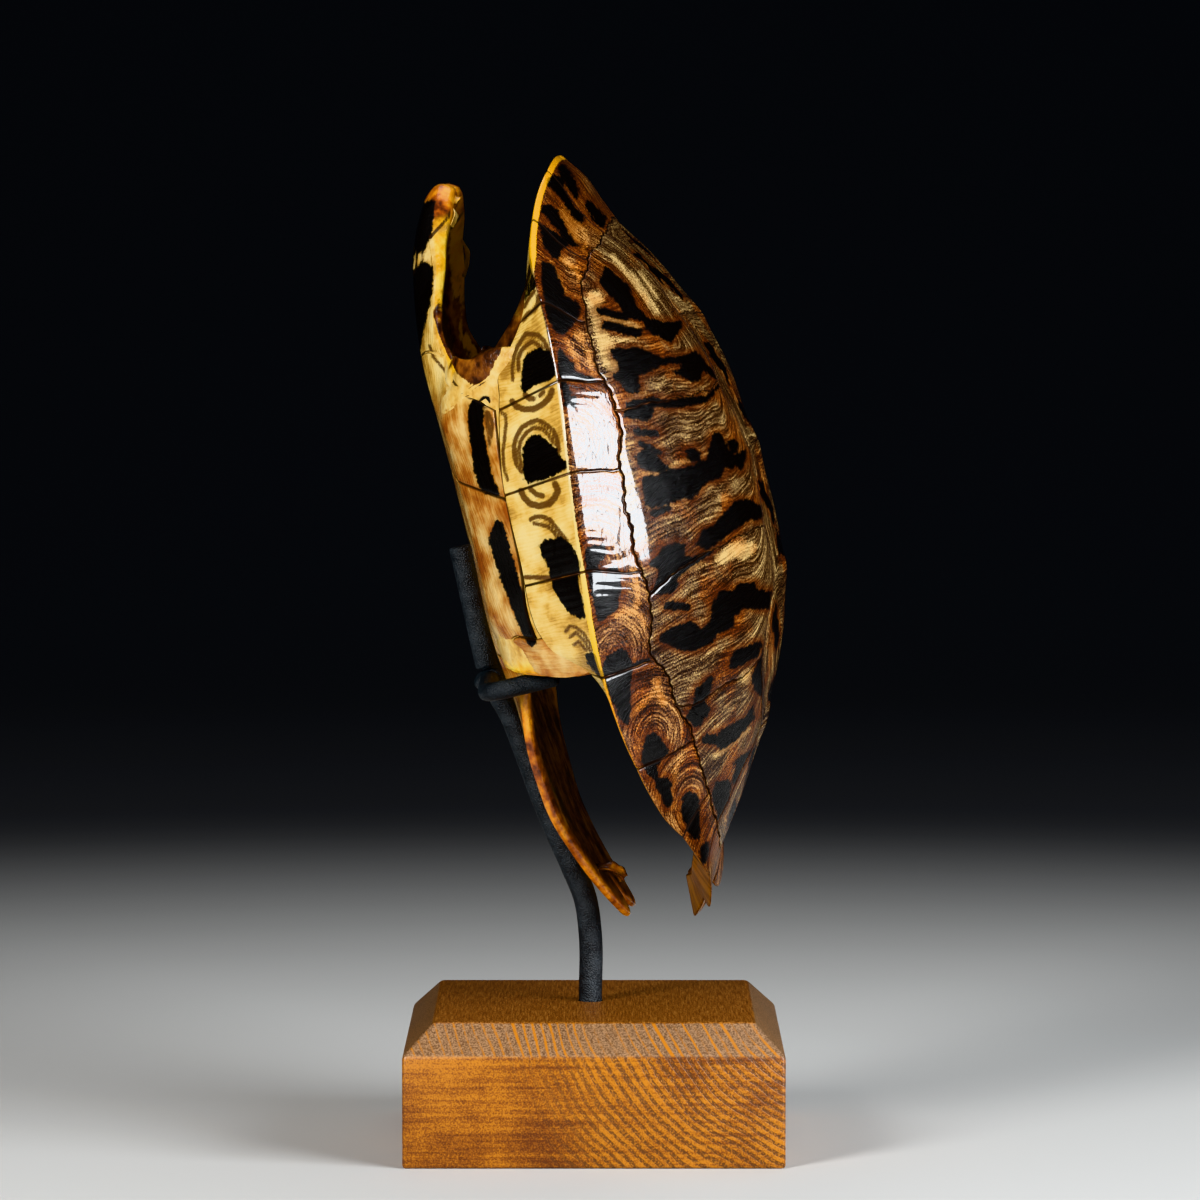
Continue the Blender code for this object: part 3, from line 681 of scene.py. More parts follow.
def field_plate(patch, border, centre, face, side, seed, both, lines, marks, under=0.0, drop=1.0):
    """One horn plate over a height field: a closed solid with a rounded border."""
    settings = bpy.context.scene.turtle_plates
    border = shrunk(border, settings.groove / MM)
    centre = np.array(centre, float)
    reach = np.linalg.norm(border - centre, axis=1)
    typical = float(np.median(reach))
    steps = [min(depth / typical, 0.9) for depth in RING_DEPTHS]
    count = max(4, round((typical - RING_DEPTHS[-1]) / POINT_SPACING))
    steps += list(np.linspace(steps[-1], 0.96, count + 1)[1:])
    ring_size = len(border)
    rings = [centre + (border - centre) * (1 - step) for step in steps] + [centre[None]]
    plan = np.concatenate(rings)
    a, l = plan[:, 0], plan[:, 1]
    points = np.column_stack((a, l, face(a, l)))
    normal = face_normal(face, a, l, side)
    rim = points[:ring_size]
    if side < 0:
        depth = seam_gap(points, rim)
    else:
        depth = segment_gap(points, rim, np.roll(rim, -1, axis=0))
        depth[:ring_size] = 0
    waviness = 0.8 * np.sin(a * 0.31) + 0.8 * np.sin(l * 0.27)
    relief = RIDGE_HEIGHT * np.sin(depth * 2 * math.pi / RIDGE_PITCH + waviness)
    relief *= np.clip((depth - 1.0) / 2, 0, 1)
    lifted = edge_profile(depth, settings.edge_round / MM, settings.edge_drop * drop / MM)
    top = points + normal * (relief - lifted)[:, None]
    kept = [0, *range(3, len(steps) - 1, CORE_RING_STRIDE), len(steps) - 1]
    core_index = np.concatenate([np.arange(k * ring_size, (k + 1) * ring_size) for k in kept]
                                + [np.array([len(points) - 1])])
    core = points[core_index] - normal[core_index] * PLATE_THICKNESS
    everything = np.concatenate((top, core))

    shift = len(points)
    faces = quads(len(steps), ring_size, 0, True)
    faces += [(b, a, d, c) for a, b, c, d in quads(len(kept), ring_size, shift, True)]
    for last, middle, way in (((len(steps) - 1) * ring_size, shift - 1, 1),
                              (shift + (len(kept) - 1) * ring_size, len(everything) - 1, -1)):
        pairs = ((last + i, last + (i + 1) % ring_size) for i in range(ring_size))
        faces += [pair[::way] + (middle,) for pair in pairs]
    faces += walls(list(range(ring_size)), shift)
    if plan_area(border) * side < 0:
        faces = [corners[::-1] for corners in faces]

    def painted(columns):
        values = np.column_stack([np.broadcast_to(column, len(points)) for column in columns])
        return np.concatenate((values, values[core_index]))

    mark = painted(marks(points))
    form = painted((depth / drop, under, UNMARKED))
    for mirror in (False, True)[:1 + both]:
        grain = painted((*lines(points, depth).T, seed + RIGHT_SEED * mirror))
        patch.add(everything, faces, mirror=mirror, grain=grain, mark=mark, form=form)


def level_lines(slope_a, slope_l):
    """Growth lines that cross a direction in plan."""
    length = math.hypot(slope_a, slope_l)
    ua, ul = slope_a / length, slope_l / length

    def lines(points, depth):
        a, l = points[:, 0], points[:, 1]
        return np.column_stack((a * ua + l * ul, l * ua - a * ul))
    return lines


def ring_lines(points, depth):
    """Growth lines that run round a plate, parallel to its border."""
    middle = points.mean(axis=0)
    turn = np.arctan2(points[:, 1] - middle[1], points[:, 0] - middle[0])
    return np.column_stack((depth, turn * 12))


def line_distance(points, line):
    """Distance in plan of points from a seam."""
    line = np.array(line, float)
    return segment_gap(points[:, :2], line[:-1], line[1:])


def soft_least(x, y, width):
    """Smaller of two values, rounded where they meet."""
    h = np.clip(0.5 + 0.5 * (y - x) / width, 0, 1)
    return y + (x - y) * h - width * h * (1 - h)


def costal_lines(number):
    """Growth lines of a costal plate: along its cross seams, swept forward by the spine seam."""
    def lines(points, depth):
        a, l = points[:, 0], points[:, 1]
        spine = line_distance(points, SPINE_SEAM)
        rear = line_distance(points, COSTAL_SEAMS[number])
        if number == 0:
            across = soft_least(spine * 1.15, rear, 5.0)
        else:
            front = line_distance(points, COSTAL_SEAMS[number - 1])
            across = 36 * rear / (front + rear) - 12 * np.exp(-spine / 3.5)
        return np.column_stack((across + 0.4 * np.sin(l * 0.35 + a * 0.2), l + 0.3 * a))
    return lines


def rim_terms(points):
    """Arc length and share from spine to rim of places given in plan."""
    spine_a = RIM_A * SPINE_SHARE
    span_a, span_l = RIM_A - spine_a, RIM_L
    arcs, shares = [], []
    for a, l in np.atleast_2d(points):
        if l < 0.01:
            j = 0 if a > 0 else len(RIM_A) - 1
        else:
            share = l / np.maximum(RIM_L, 0.001)
            miss = np.where(share <= 1.2, np.abs(spine_a + span_a * share - a), 1e9)
            j = int(miss.argmin())
        length = span_a[j] ** 2 + span_l[j] ** 2
        arcs.append(RIM_ARC[j])
        shares.append(((a - spine_a[j]) * span_a[j] + l * span_l[j]) / length)
    return np.array(arcs), np.array(shares)


MARGIN_LINE = polyline(MARGIN_SEAM, SEAM_SPACING)
SPINE_LINE = polyline(SPINE_SEAM, SEAM_SPACING)
MARGIN_ARCS, MARGIN_SHARES = rim_terms(MARGIN_LINE)


def top_arc(a):
    """Arc length at which a seam between two rim plates meets the seam above them."""
    place = NUCHAL_CORNER if a >= MARGIN_TOPS[0] else MARGIN_LINE[np.abs(MARGIN_LINE[:, 0] - a).argmin()]
    return rim_terms(place)[0][0]


TOP_ARCS = (0.0, *map(top_arc, MARGIN_TOPS), float(RIM_ARC[-1]))


def rim_columns(number, groove):
    """Shares along a rim plate at which it has points, closer together at its seams."""
    length = PLATE_ARCS[number + 1] - PLATE_ARCS[number]
    near = np.array((groove, groove + 0.15, groove + 0.4)) / length
    if number == 0:
        return np.unique(np.concatenate((np.linspace(0, 1 - near[-1], 6), 1 - near)))
    inner = np.linspace(0, 1, max(8, round(length / RIM_SPACING)) + 1)
    inner = inner[(inner > near[-1]) & (inner < 1 - near[-1])]
    return np.unique(np.concatenate((near, 1 - near, inner)))


def marginal_grid(rim_arcs, top_arcs, groove, rounding):
    """Rows of points round a rim plate, how many come before the underside, its rim and its core."""
    top_share = np.interp(top_arcs, MARGIN_ARCS, MARGIN_SHARES)
    rim = rim_section(rim_arcs, np.ones(len(rim_arcs)))
    top = rim_section(top_arcs, top_share)
    edge = flange_edge(rim_arcs)
    upper_length = np.linalg.norm(top - rim, axis=1) * 1.04
    lower_length = np.linalg.norm(edge - rim, axis=1)
    rounding = min(rounding, 0.3 * float(lower_length.min()))

    def upper(v):
        arcs = top_arcs + (rim_arcs - top_arcs) * smooth_step(v)
        found = rim_section(arcs, 1 - (1 - top_share) * (1 - v) ** 1.33)
        fade = np.clip(1 - v * 1.6, 0, 1)[:, None]
        plan = found[:, :2] + (wander(found[:, :2]) - found[:, :2]) * fade
        lift = found[:, 2] - dome(found[:, 0], found[:, 1])
        return np.column_stack((plan, dome(plan[:, 0], plan[:, 1]) + lift))

    def lower(w):
        return rim + (edge - rim) * w[:, None]

    v_start, v_end = groove / upper_length, 1 - rounding / upper_length
    w_start, w_end = rounding / lower_length, 1 - groove / lower_length
    rows = [upper(v_start + (v_end - v_start) * t) for t in UPPER_ROWS]
    above, below = rows[-1], lower(w_start)
    rows += [(1 - t) ** 2 * above + 2 * t * (1 - t) * rim + t ** 2 * below for t in EDGE_ROWS]
    rounded = len(rows)
    rows += [lower(w_start + (w_end - w_start) * t) for t in LOWER_ROWS]
    return np.array(rows), rounded, rim, (top + rim + edge) / 3


def marginal_plate(patch, number, seed, side):
    """One horn plate folded round the rim: upper face, rounded edge and underside."""
    settings = bpy.context.scene.turtle_plates
    groove = settings.groove / MM
    share = rim_columns(number, groove)
    rim_arcs, top_arcs = (ends[number] + (ends[number + 1] - ends[number]) * share
                          for ends in (PLATE_ARCS, TOP_ARCS))
    grid, rounded, rim, core = marginal_grid(rim_arcs, top_arcs, groove, settings.rim_round / MM)
    row_count, column_count = grid.shape[:2]

    normal = unit(np.cross(np.gradient(grid, axis=1), np.gradient(grid, axis=0)))
    flip = np.sum(normal * (grid - core)) < 0
    if flip:
        normal = -normal
    steps = np.linalg.norm(np.diff(grid, axis=0), axis=2)
    run = np.concatenate((np.zeros((1, column_count)), np.cumsum(steps, axis=0)))
    sideways = np.linalg.norm(np.diff(grid, axis=1), axis=2)
    cross_run = np.concatenate((np.zeros((row_count, 1)), np.cumsum(sideways, axis=1)), axis=1)
    depth = np.minimum(np.minimum(run, run[-1:] - run), cross_run[:, -1:] - cross_run)
    if number:
        depth = np.minimum(depth, cross_run)
    from_rim = np.abs(run - run[rounded - 2:rounded - 1])
    under = smooth_step((np.arange(row_count) - (rounded - 3.5)) / 3)[:, None] + np.zeros_like(run)

    lifted = edge_profile(depth, settings.edge_round / MM, BACK_DROP * settings.edge_drop / MM)
    relief = RIDGE_HEIGHT * np.sin(depth * 2 * math.pi / RIDGE_PITCH)
    relief *= np.clip((depth - 1) / 2, 0, 1) * (from_rim > 3)
    surface = grid + normal * (relief - lifted)[..., None]
    inside = toward(core, grid, RIM_PLATE_THICKNESS)

    ids = np.arange(row_count * column_count).reshape(row_count, column_count)
    loop = np.concatenate((ids[0], ids[1:, -1], ids[-1, -2::-1], ids[-2:0:-1, 0])).tolist()
    faces = quads(row_count, column_count) + turned(quads(row_count, column_count, ids.size))
    faces += walls(loop, ids.size)
    if not flip:
        faces = [corners[::-1] for corners in faces]

    flat = grid.reshape(-1, 3)
    middle = np.array(WHORLS.get(number, (0, 0, 0)))
    from_middle = np.linalg.norm(flat - middle, axis=1)
    turn = np.arctan2(flat[:, 0] - middle[0], flat[:, 2] - middle[2])
    upper_side = under.reshape(-1) < 0.5
    whorled = upper_side & (number in WHORLS)
    across = np.where(whorled, from_middle, cross_run.reshape(-1) * 1.1)
    beside = np.where(whorled, turn * 7, run.reshape(-1))
    grain = np.column_stack((across, beside, np.full(len(flat), seed)))
    mark = np.column_stack((
        np.where(upper_side, side_field(flat, UPPER_DARK), side_field(flat, UNDER_DARK)),
        np.where(upper_side, UNMARKED, side_field(flat, UNDER_LINES)),
        np.where(upper_side, side_field(flat, UPPER_LIGHT), UNMARKED)))
    rim_band = through(rim[:, 0], RIM_BAND) - from_rim
    if number < 3:
        rim_band = np.maximum(rim_band, np.where(under > 0.5, (72 - rim_arcs) / 4, UNMARKED))
    if number > 9:
        rim_band = np.where(under > 0.5, 12, rim_band)
    form = np.column_stack((depth.reshape(-1), 2 * under.reshape(-1) - 1, rim_band.reshape(-1)))
    if side < 0:
        grain[:, 2] += RIGHT_SEED
    patch.add(np.concatenate((surface.reshape(-1, 3), inside.reshape(-1, 3))), faces, mirror=side < 0,
              grain=np.tile(grain, (2, 1)), mark=np.tile(mark, (2, 1)), form=np.tile(form, (2, 1)))


# Width of the rim's bright band above and below the edge
RIM_BAND = ((104, 1.9), (86, 1.9), (80, 1.7), (76, 0.5), (40, 0.4), (6, 0.4), (-6, 0.75), (-24, 0.75),
            (-36, 0.5), (-100, 0.45))

# Markings seen from the side, in (a, d): a radius of 0 and a closed outline, or a line's
# half width and its points
COSTAL_DARK = (
    (0, (71, 54), (70, 55), (65, 58), (59, 59), (55, 61), (53, 64), (52, 68), (51, 68), (48, 65), (50, 63),
     (53, 60), (55, 60), (58, 56), (60, 56), (68, 52)),
    (0, (50, 51), (50, 52), (49, 54), (49, 56), (47, 59), (44, 62), (43, 67), (43, 70), (35, 73), (38, 71),
     (38, 70), (36, 69), (36, 68), (40, 64), (40, 66), (42, 66), (43, 62), (42, 57), (42, 55), (40, 55),
     (38, 55), (38, 54), (39, 52), (42, 51), (43, 50), (44, 50), (44, 52), (45, 52)),
    (0.5, (61, 50.4), (57.2, 56)),
    (0.7, (56.8, 51.2), (52.4, 58)),
    (0, (36, 51), (35, 57), (33, 61), (32, 66), (31, 70), (33, 73), (31, 71), (30, 69), (31, 63), (33, 57),
     (31, 56), (30, 55), (32, 51), (33, 50), (34, 51)),
    (0, (22, 49.8), (23, 52.4), (22, 53.6), (16.4, 56.4), (16, 55), (16.8, 53.2), (19.2, 50.4)),
    (0, (16, 50), (15, 54), (16, 56), (15, 59), (15, 61), (15, 64), (15, 66), (21, 69), (21, 70), (14, 72),
     (14, 75), (10, 73), (12, 72), (11, 71), (12, 70), (12, 69), (10, 68), (10, 64), (7, 60), (8, 58),
     (8, 51), (9, 49)),
    (0, (17.8, 72), (17.6, 73), (16.4, 73.6), (14.8, 72.8), (14.4, 71.8)),
    (0, (19.2, 62), (19.2, 63.6), (17.4, 64.4), (16.2, 64), (16, 62.8), (17, 61.8)),
    (0.5, (6.2, 50), (6.4, 53.6)),
    (0.55, (28, 51.6), (26.8, 53.6), (26.2, 55.6)),
    (0.35, (24.8, 51.8), (21, 55.2)),
    (0, (-4, 59), (-2, 60), (-2, 63), (2, 69), (2, 71), (1, 73), (-2, 75), (-4, 74), (-4, 73), (-3, 72),
     (-7, 60), (-5, 58)),
    (0, (-6, 46), (-5, 48), (-3, 50), (-3, 53), (-4, 55), (-7, 54), (-8, 56), (-8, 61), (-10, 54), (-12, 50),
     (-13, 51), (-14, 50), (-15, 48), (-13, 44), (-12, 46), (-8, 48)),
    (0, (-17.2, 46.6), (-17.6, 48.6), (-19.6, 51.8), (-20.4, 51.2), (-18.8, 47.2), (-18, 46.2)),
    (0, (-19, 60), (-20, 63), (-19, 65), (-20, 68), (-22, 68), (-24, 71), (-28, 70), (-27, 68), (-25, 64),
     (-26, 62), (-26, 61), (-29, 60), (-29, 56), (-31, 54), (-31, 52), (-31, 49), (-30, 47), (-26, 43),
     (-25, 43), (-24, 46), (-24, 51), (-27, 53), (-27, 54), (-25, 56), (-22, 57)),
    (0, (-36.4, 58), (-35.6, 59.4), (-35.6, 64.4), (-36.6, 65.2), (-38.8, 63.6), (-39.6, 57.2),
     (-38.8, 56.8)),
    (0, (-43, 61.6), (-38.2, 65.6), (-38.8, 66.4), (-40.6, 66), (-45.6, 62.6), (-49.2, 62), (-49.8, 61),
     (-45.6, 60.4)),
    (0, (-40, 51), (-40, 52), (-42, 51), (-46, 48), (-48, 49), (-50, 46), (-51, 45), (-50, 44), (-48, 43),
     (-45, 46), (-42, 47)),
    (0, (-56, 48.4), (-54.8, 49.8), (-54, 56), (-52, 58.4), (-55.2, 57.4), (-58.8, 51.6), (-59.4, 48.4),
     (-57.4, 47.6), (-55.8, 45), (-54.8, 45.2), (-54.4, 46.4)),
    (0, (-67.4, 49.8), (-65.2, 50), (-64.2, 51.6), (-64, 54), (-70.8, 50.4), (-70.4, 49.6), (-73.6, 47.8),
     (-68.4, 48.4)),
    (0, (-68, 44.4), (-68.8, 46.8), (-70.8, 46.8), (-72.4, 45.8), (-74.4, 45.8), (-78.2, 44.2), (-80.8, 41.2),
     (-76.2, 42.4), (-70.8, 42.8)),
)
COSTAL_LIGHT = (
    (0, (66, 49), (66, 51), (65, 52), (63, 52), (61, 50), (59, 50), (50, 52), (49, 50), (48, 50), (47, 52),
     (45, 52), (44, 50), (45, 49), (47, 48), (61, 48), (64, 48)),
    (0.8, (58.8, 51), (55.6, 56.2), (53.6, 58.2)),
    (0.5, (52.8, 51.2), (51.2, 57.2)),
    (0.5, (67.6, 59.6), (56.4, 63.4)),
    (0.4, (67.6, 61.6), (60.2, 64)),
    (0.45, (73.8, 56), (66.2, 59.4), (58.8, 62.2)),
    (0.4, (17.2, 50), (16, 53), (16.8, 58.4), (16.8, 62)),
    (0.5, (8.4, 49.2), (8.4, 52.2), (6.8, 54.8)),
    (0, (-9.4, 61.2), (-7.6, 65.8), (-9.2, 70.8), (-11.2, 71.2), (-12.8, 69.6), (-13.2, 67.6), (-11.6, 65.6),
     (-12, 63.4), (-11, 61.2)),
    (0.7, (-11.2, 51.4), (-10.4, 53.6), (-10, 57.4)),
    (0, (-41.4, 59.6), (-41.6, 61.4), (-44, 60.8), (-45.4, 59.2), (-43.8, 58), (-42.4, 58)),
    (0.55, (-60.8, 46.4), (-59.6, 50.8), (-57.6, 55.4)),
)
UPPER_DARK = (
    (0, (100.8, 48.2), (100, 49.2), (96, 50.6), (92.4, 51), (91.2, 50.4), (99.4, 48)),
    (0, (89.6, 52.8), (85.2, 55.2), (83.4, 55.6), (82, 55), (83, 54), (88.4, 52.2)),
    (0, (98, 45.2), (98.4, 46.4), (98, 47.6), (96.4, 48.4), (94.8, 48), (89.4, 49.2), (85.6, 51.2),
     (84.8, 50.8), (85.8, 49.6), (93.6, 46.8), (96.4, 45.2)),
    (0, (91.2, 42.8), (91, 44), (88.8, 45.6), (82.8, 46.8), (78.8, 48.4), (79.6, 47.4), (89.8, 42.4)),
    (0, (86.8, 41.2), (80.8, 46.2), (79.8, 46), (79, 44), (77.4, 44), (77.2, 43.2), (78, 42.2), (81, 41.2)),
    (0, (77, 40), (75, 42), (67, 43), (65, 45), (63, 46), (60, 44), (58, 41), (58, 40), (59, 39), (63, 38),
     (75, 39)),
    (0, (54, 38.8), (49, 40.8), (47.4, 40.8), (46, 42), (44.2, 45.2), (44, 44), (46, 39.2), (45.6, 38),
     (41.6, 38.4), (40.8, 39.2), (38.8, 39), (38.4, 37.6), (40, 36.8), (42.2, 36.8), (50.4, 37.6)),
    (0, (2.8, 33.6), (2.2, 36), (0.2, 36), (-1, 34), (-2.4, 33.2), (-1.6, 31.6), (0.2, 30.8), (2.6, 32)),
    (0, (0, 31), (-3, 33), (-6, 34), (-5, 36), (-4, 35), (-4, 37), (-5, 38), (-10, 37), (-14, 35), (-15, 33),
     (-16, 30), (-11, 30)),
    (0, (-26, 29), (-25, 33), (-26, 34), (-27, 34), (-30, 34), (-35, 32), (-42, 30), (-44, 29), (-42, 28),
     (-31, 27), (-29, 27)),
    (0.35, (-30.2, 34), (-29.8, 38.4)),
    (0, (-50, 32), (-49, 32.8), (-48.8, 34.2), (-49.6, 35), (-54.8, 36.2), (-57.2, 32.4), (-59.2, 32.2),
     (-60.2, 31.4), (-58.8, 30.4), (-54.8, 30)),
    (0, (-60.8, 31.6), (-61.4, 34), (-62.8, 34.4), (-68.2, 33.2), (-68.6, 32.2), (-62.8, 31.2)),
    (0, (-68, 36.4), (-67.4, 37.6), (-68.4, 38.8), (-70.4, 39.2), (-80, 36.4), (-78.8, 35.2), (-71.6, 34.8)),
    (0, (-82.8, 36.4), (-82.4, 37.6), (-84.2, 37.6), (-87.2, 35.8)),
)
UPPER_LIGHT = (
    (0, (89.2, 46), (89.6, 47.2), (84.4, 49.6), (80, 49.6), (78.6, 48.8), (79.6, 48)),
    (0.4, (89.4, 48.4), (87.6, 49.2), (81.2, 50.8), (78.8, 50.8), (77.6, 49.6)),
    (0.5, (77.6, 43.2), (75.6, 45.2), (72.8, 46.8), (70, 47.6)),
    (0.35, (76.4, 41.4), (74.2, 42.4), (68, 43.2)),
    (0, (57.2, 42.8), (57.2, 44.2), (56.2, 45.2), (51.4, 45.2)),
    (0.5, (51.4, 45.2), (45, 45.2)),
    (0.35, (56, 40.8), (48, 42.4)),
    (0.6, (-16, 34.2), (-15.8, 36.4), (-16.6, 38.6), (-14.8, 40), (-12, 40.8), (-6.2, 41.6)),
    (0.5, (-16.6, 38.6), (-18.4, 40), (-21, 40.2)),
    (0.6, (-42.4, 30.4), (-38.6, 37.4), (-37.2, 38.6)),
    (0.9, (-36, 38.8), (-38, 38.4), (-42, 39)),
    (0.4, (-57.4, 38.8), (-59, 37.2), (-65.4, 34), (-69.2, 33.2)),
)
UNDER_DARK = (
    (0, (78.8, 37.2), (78.8, 38), (74.4, 38.2), (72.4, 37.6), (68.4, 30.8)),
    (0, (54.4, 28.8), (55.2, 30), (55.6, 33), (54.4, 35.6), (50.8, 36), (49.4, 36.8), (48.2, 36.4),
     (47.2, 33), (47.2, 29.2), (46.2, 26.4), (47.6, 26.2)),
    (0, (33.6, 24), (34.4, 25.6), (34, 27.2), (29.6, 30.8), (26.4, 31.6), (25.6, 32.8), (24.4, 32.4),
     (23.2, 27.2), (23.2, 21), (24.2, 20.4), (32, 22.4)),
    (0, (6.4, 19.8), (7.2, 20.8), (7.2, 25.6), (4.8, 27.8), (0, 28.8), (-0.4, 29.6), (-4, 27.2), (-14, 26.4),
     (-14, 25), (-11.4, 22.4), (-6.2, 20.4), (2.4, 20.4), (4.2, 19.6)),
    (0, (-23.8, 23.6), (-23.4, 26), (-31.6, 27.2), (-32, 26.4), (-25.8, 23.6)),
    (0, (91.6, 41), (92, 41.8), (90.8, 42), (90.4, 41.2)),
)
UNDER_LINES = (
    (0.5, (55.6, 26), (57.6, 27.4), (60.4, 30.8), (59.2, 34), (57.6, 35.2), (54, 36)),
    (0.45, (51.8, 26.4), (54.8, 27), (56.8, 28.8), (58, 32), (57, 33.2), (55.4, 34.2)),
    (0.35, (49.6, 24), (52.8, 24.8), (55.6, 26)),
    (0.5, (28.8, 31.6), (31.8, 32), (34.4, 31.6), (36.4, 30), (38, 28.2), (38, 26), (37.2, 23.2),
     (35.4, 21.2), (33.2, 19.8), (30.6, 19.2), (28.4, 19.2), (26.2, 20)),
    (0.4, (31, 30.8), (33.6, 30), (35.6, 28.6), (36.4, 26.4), (35.8, 24.4), (34.2, 22.2), (31.8, 20.8),
     (29.2, 20.4), (27.2, 20.8)),
    (0.7, (44.4, 22.4), (42.8, 23.2), (41.6, 25.2), (41, 27.8), (41.6, 30.6), (42.8, 32.8), (44.4, 34)),
    (0.6, (45.2, 26.4), (44, 27.2), (43.6, 28.4)),
    (0.5, (44, 30.4), (44.6, 31.6)),
    (0.75, (21.4, 18.4), (19.6, 18.8), (17.6, 20), (16.4, 22.4), (16.4, 25.2), (17.6, 27.2), (19.2, 28.6),
     (21, 28.2)),
    (0.6, (21.2, 21.2), (19.6, 22.4), (18.8, 24)),
    (0.45, (13.6, 18.8), (14, 20.6), (13.6, 22.4), (12.4, 24.2), (6, 27.2)),
    (0.4, (12.4, 19.6), (10.8, 23.2), (9, 24.4), (7.2, 25)),
    (0.5, (-0.6, 13), (-2.4, 20.4)),
    (0.3, (-16.8, 20), (-15.6, 21.6), (-16.2, 23.2), (-18, 24.8), (-23, 26.4)),
    (0.3, (-18.4, 20.8), (-17.6, 22.8), (-20, 24.4), (-22.8, 25.2)),
    (0.3, (-20.6, 21.2), (-20, 22.8), (-22.6, 24.2)),
    (0.5, (68.8, 36.6), (66.8, 36), (65.6, 34.4), (65.2, 32.6), (64, 30.8)),
    (0.35, (70.4, 36), (68.8, 33.6), (67.2, 32)),
    (0.35, (42.4, 18.6), (41.6, 19.6), (39.2, 19.2), (32.4, 16.4), (28.8, 15.6), (25, 15.6)),
)
BRIDGE_DARK = (
    (0, (47.6, 11.8), (47.4, 13.2), (46, 15.2), (45.2, 14), (38.2, 12), (25.6, 11.4), (22.4, 12.2),
     (21.6, 11.6), (24.2, 7.4), (31.2, 7.4), (45.2, 10)),
    (0, (14.2, 8.4), (15.6, 9.6), (14.2, 9.6), (15.2, 10.6), (-18.4, 10.8), (-18.4, 9.2), (-16.8, 8.4),
     (-1.6, 6.4), (10.8, 5.8)),
    (0, (48.4, 15), (48.8, 16), (45.6, 17.4), (45.2, 16.2), (47, 14.6)),
    (0, (100.8, 7.6), (101.8, 11.8), (100.8, 13), (92.4, 10), (88.6, 6.4), (89, 3), (99.2, 6)),
    (0, (86, 4.6), (86, 6.8), (84, 8.4), (77.6, 6.4), (62, -2.5), (66, -6), (78, -3), (84.8, 2)),
)
BRIDGE_LINES = (
    (0.4, (43.2, 15.2), (40.6, 15.6), (37.6, 14.4), (34.8, 12.8)),
    (0.35, (44.8, 14.4), (41.6, 14), (37.6, 13.2)),
)
LIP_SEAM = (
    (0.3, (92, 9.6), (94.2, 13.1), (96, 15.6), (97.2, 16.4)),
    (0.3, (64.2, 2.6), (61.2, 2.8), (49.6, 9.6), (48.2, 11.2)),
)
NOTCH = (
    (0, (84, 5), (67, 6), (61, 7), (56, 9), (52.3, 11.6), (50.4, 14), (50.9, 16), (53.1, 18.4), (56.7, 22),
     (61.1, 25.6), (67.3, 30.3), (84, 42)),
)

# Markings of the faces that the side view doesn't show, as paths (a, l) with a radius
VERTEBRAL_BLOTCHES = (
    ((((66, 16), (60, 11)), 2.4), (((77, 8), (72, 5)), 2.4), (((66, -16), (61, -10)), 2.6),
     (((72, 20), (64, 19)), 1.2)),
    ((((42, 17), (36, 12)), 2.8), (((25, 6), (21, -6)), 3.0), (((42, -15), (35, -13)), 2.6)),
    ((((2, 14), (-4, 8)), 2.8), (((-13, 7), (-15, -8)), 3.0), (((3, -13), (-5, -10)), 2.6)),
    ((((-31, 17), (-37, 12)), 2.6), (((-50, 6), (-52, -7)), 2.8), (((-32, -16), (-38, -10)), 2.6)),
    ((((-66, 9), (-72, 4)), 2.8), (((-78, 16), (-81, 8)), 2.4), (((-74, -14), (-80, -8)), 2.6)),
)
PLASTRAL_BLOTCHES = {
    "gular": ((((88, 10), (83, 6)), 2.2),),
    "humeral": ((((72, 22), (66, 18)), 2.6),),
    "pectoral": ((((46, 26), (40, 20)), 3.6),),
    "abdominal": ((((8, 28), (0, 22)), 4.0),),
    "femoral": ((((-40, 24), (-50, 20)), 3.6),),
    "anal": ((((-80, 12), (-85, 10)), 2.8),),
}

# Middles of the growth rings on five of the rim plates, as (a, l, d)
WHORLS = {5: (30.5, 76.2, 36.5), 6: (-2, 78, 33), 7: (-25, 76, 31), 8: (-50.1, 66, 34.3),
          9: (-70.9, 51.3, 37)}


def vertebral_plates(patch):
    """Five plates along the middle of the back, each across both halves."""
    corners = [SPINE_SEAM[0]] + [seam[0] for seam in VERTEBRAL_SEAMS]
    cross = [polyline(seam) for seam in VERTEBRAL_SEAMS]
    heads = [part_of(MARGIN_LINE, MARGIN_SEAM[0], corners[0])] + [seam[::-1] for seam in cross]
    flanks = [part_of(SPINE_LINE, *ends) for ends in zip(corners, corners[1:])]
    flanks.append(polyline(COSTAL_SEAMS[3])[::-1])
    tails = cross + [part_of(MARGIN_LINE, COSTAL_SEAMS[3][0], MARGIN_SEAM[-1])]
    for number, (head, flank, tail, middle) in enumerate(zip(heads, flanks, tails, VERTEBRAL_MIDDLES)):
        half = wander(np.concatenate((head[:-1], flank[:-1], tail)))
        half[[0, -1], 1] = 0
        border = spaced(np.concatenate((half, half[-2:0:-1] * (1, -1))))

        def marks(points):
            return path_field(points, VERTEBRAL_BLOTCHES[number], dome), UNMARKED, UNMARKED

        field_plate(patch, border, (middle, 0), dome, 1, 3.1 + number * 7.3, False, ring_lines, marks,
                    drop=BACK_DROP)


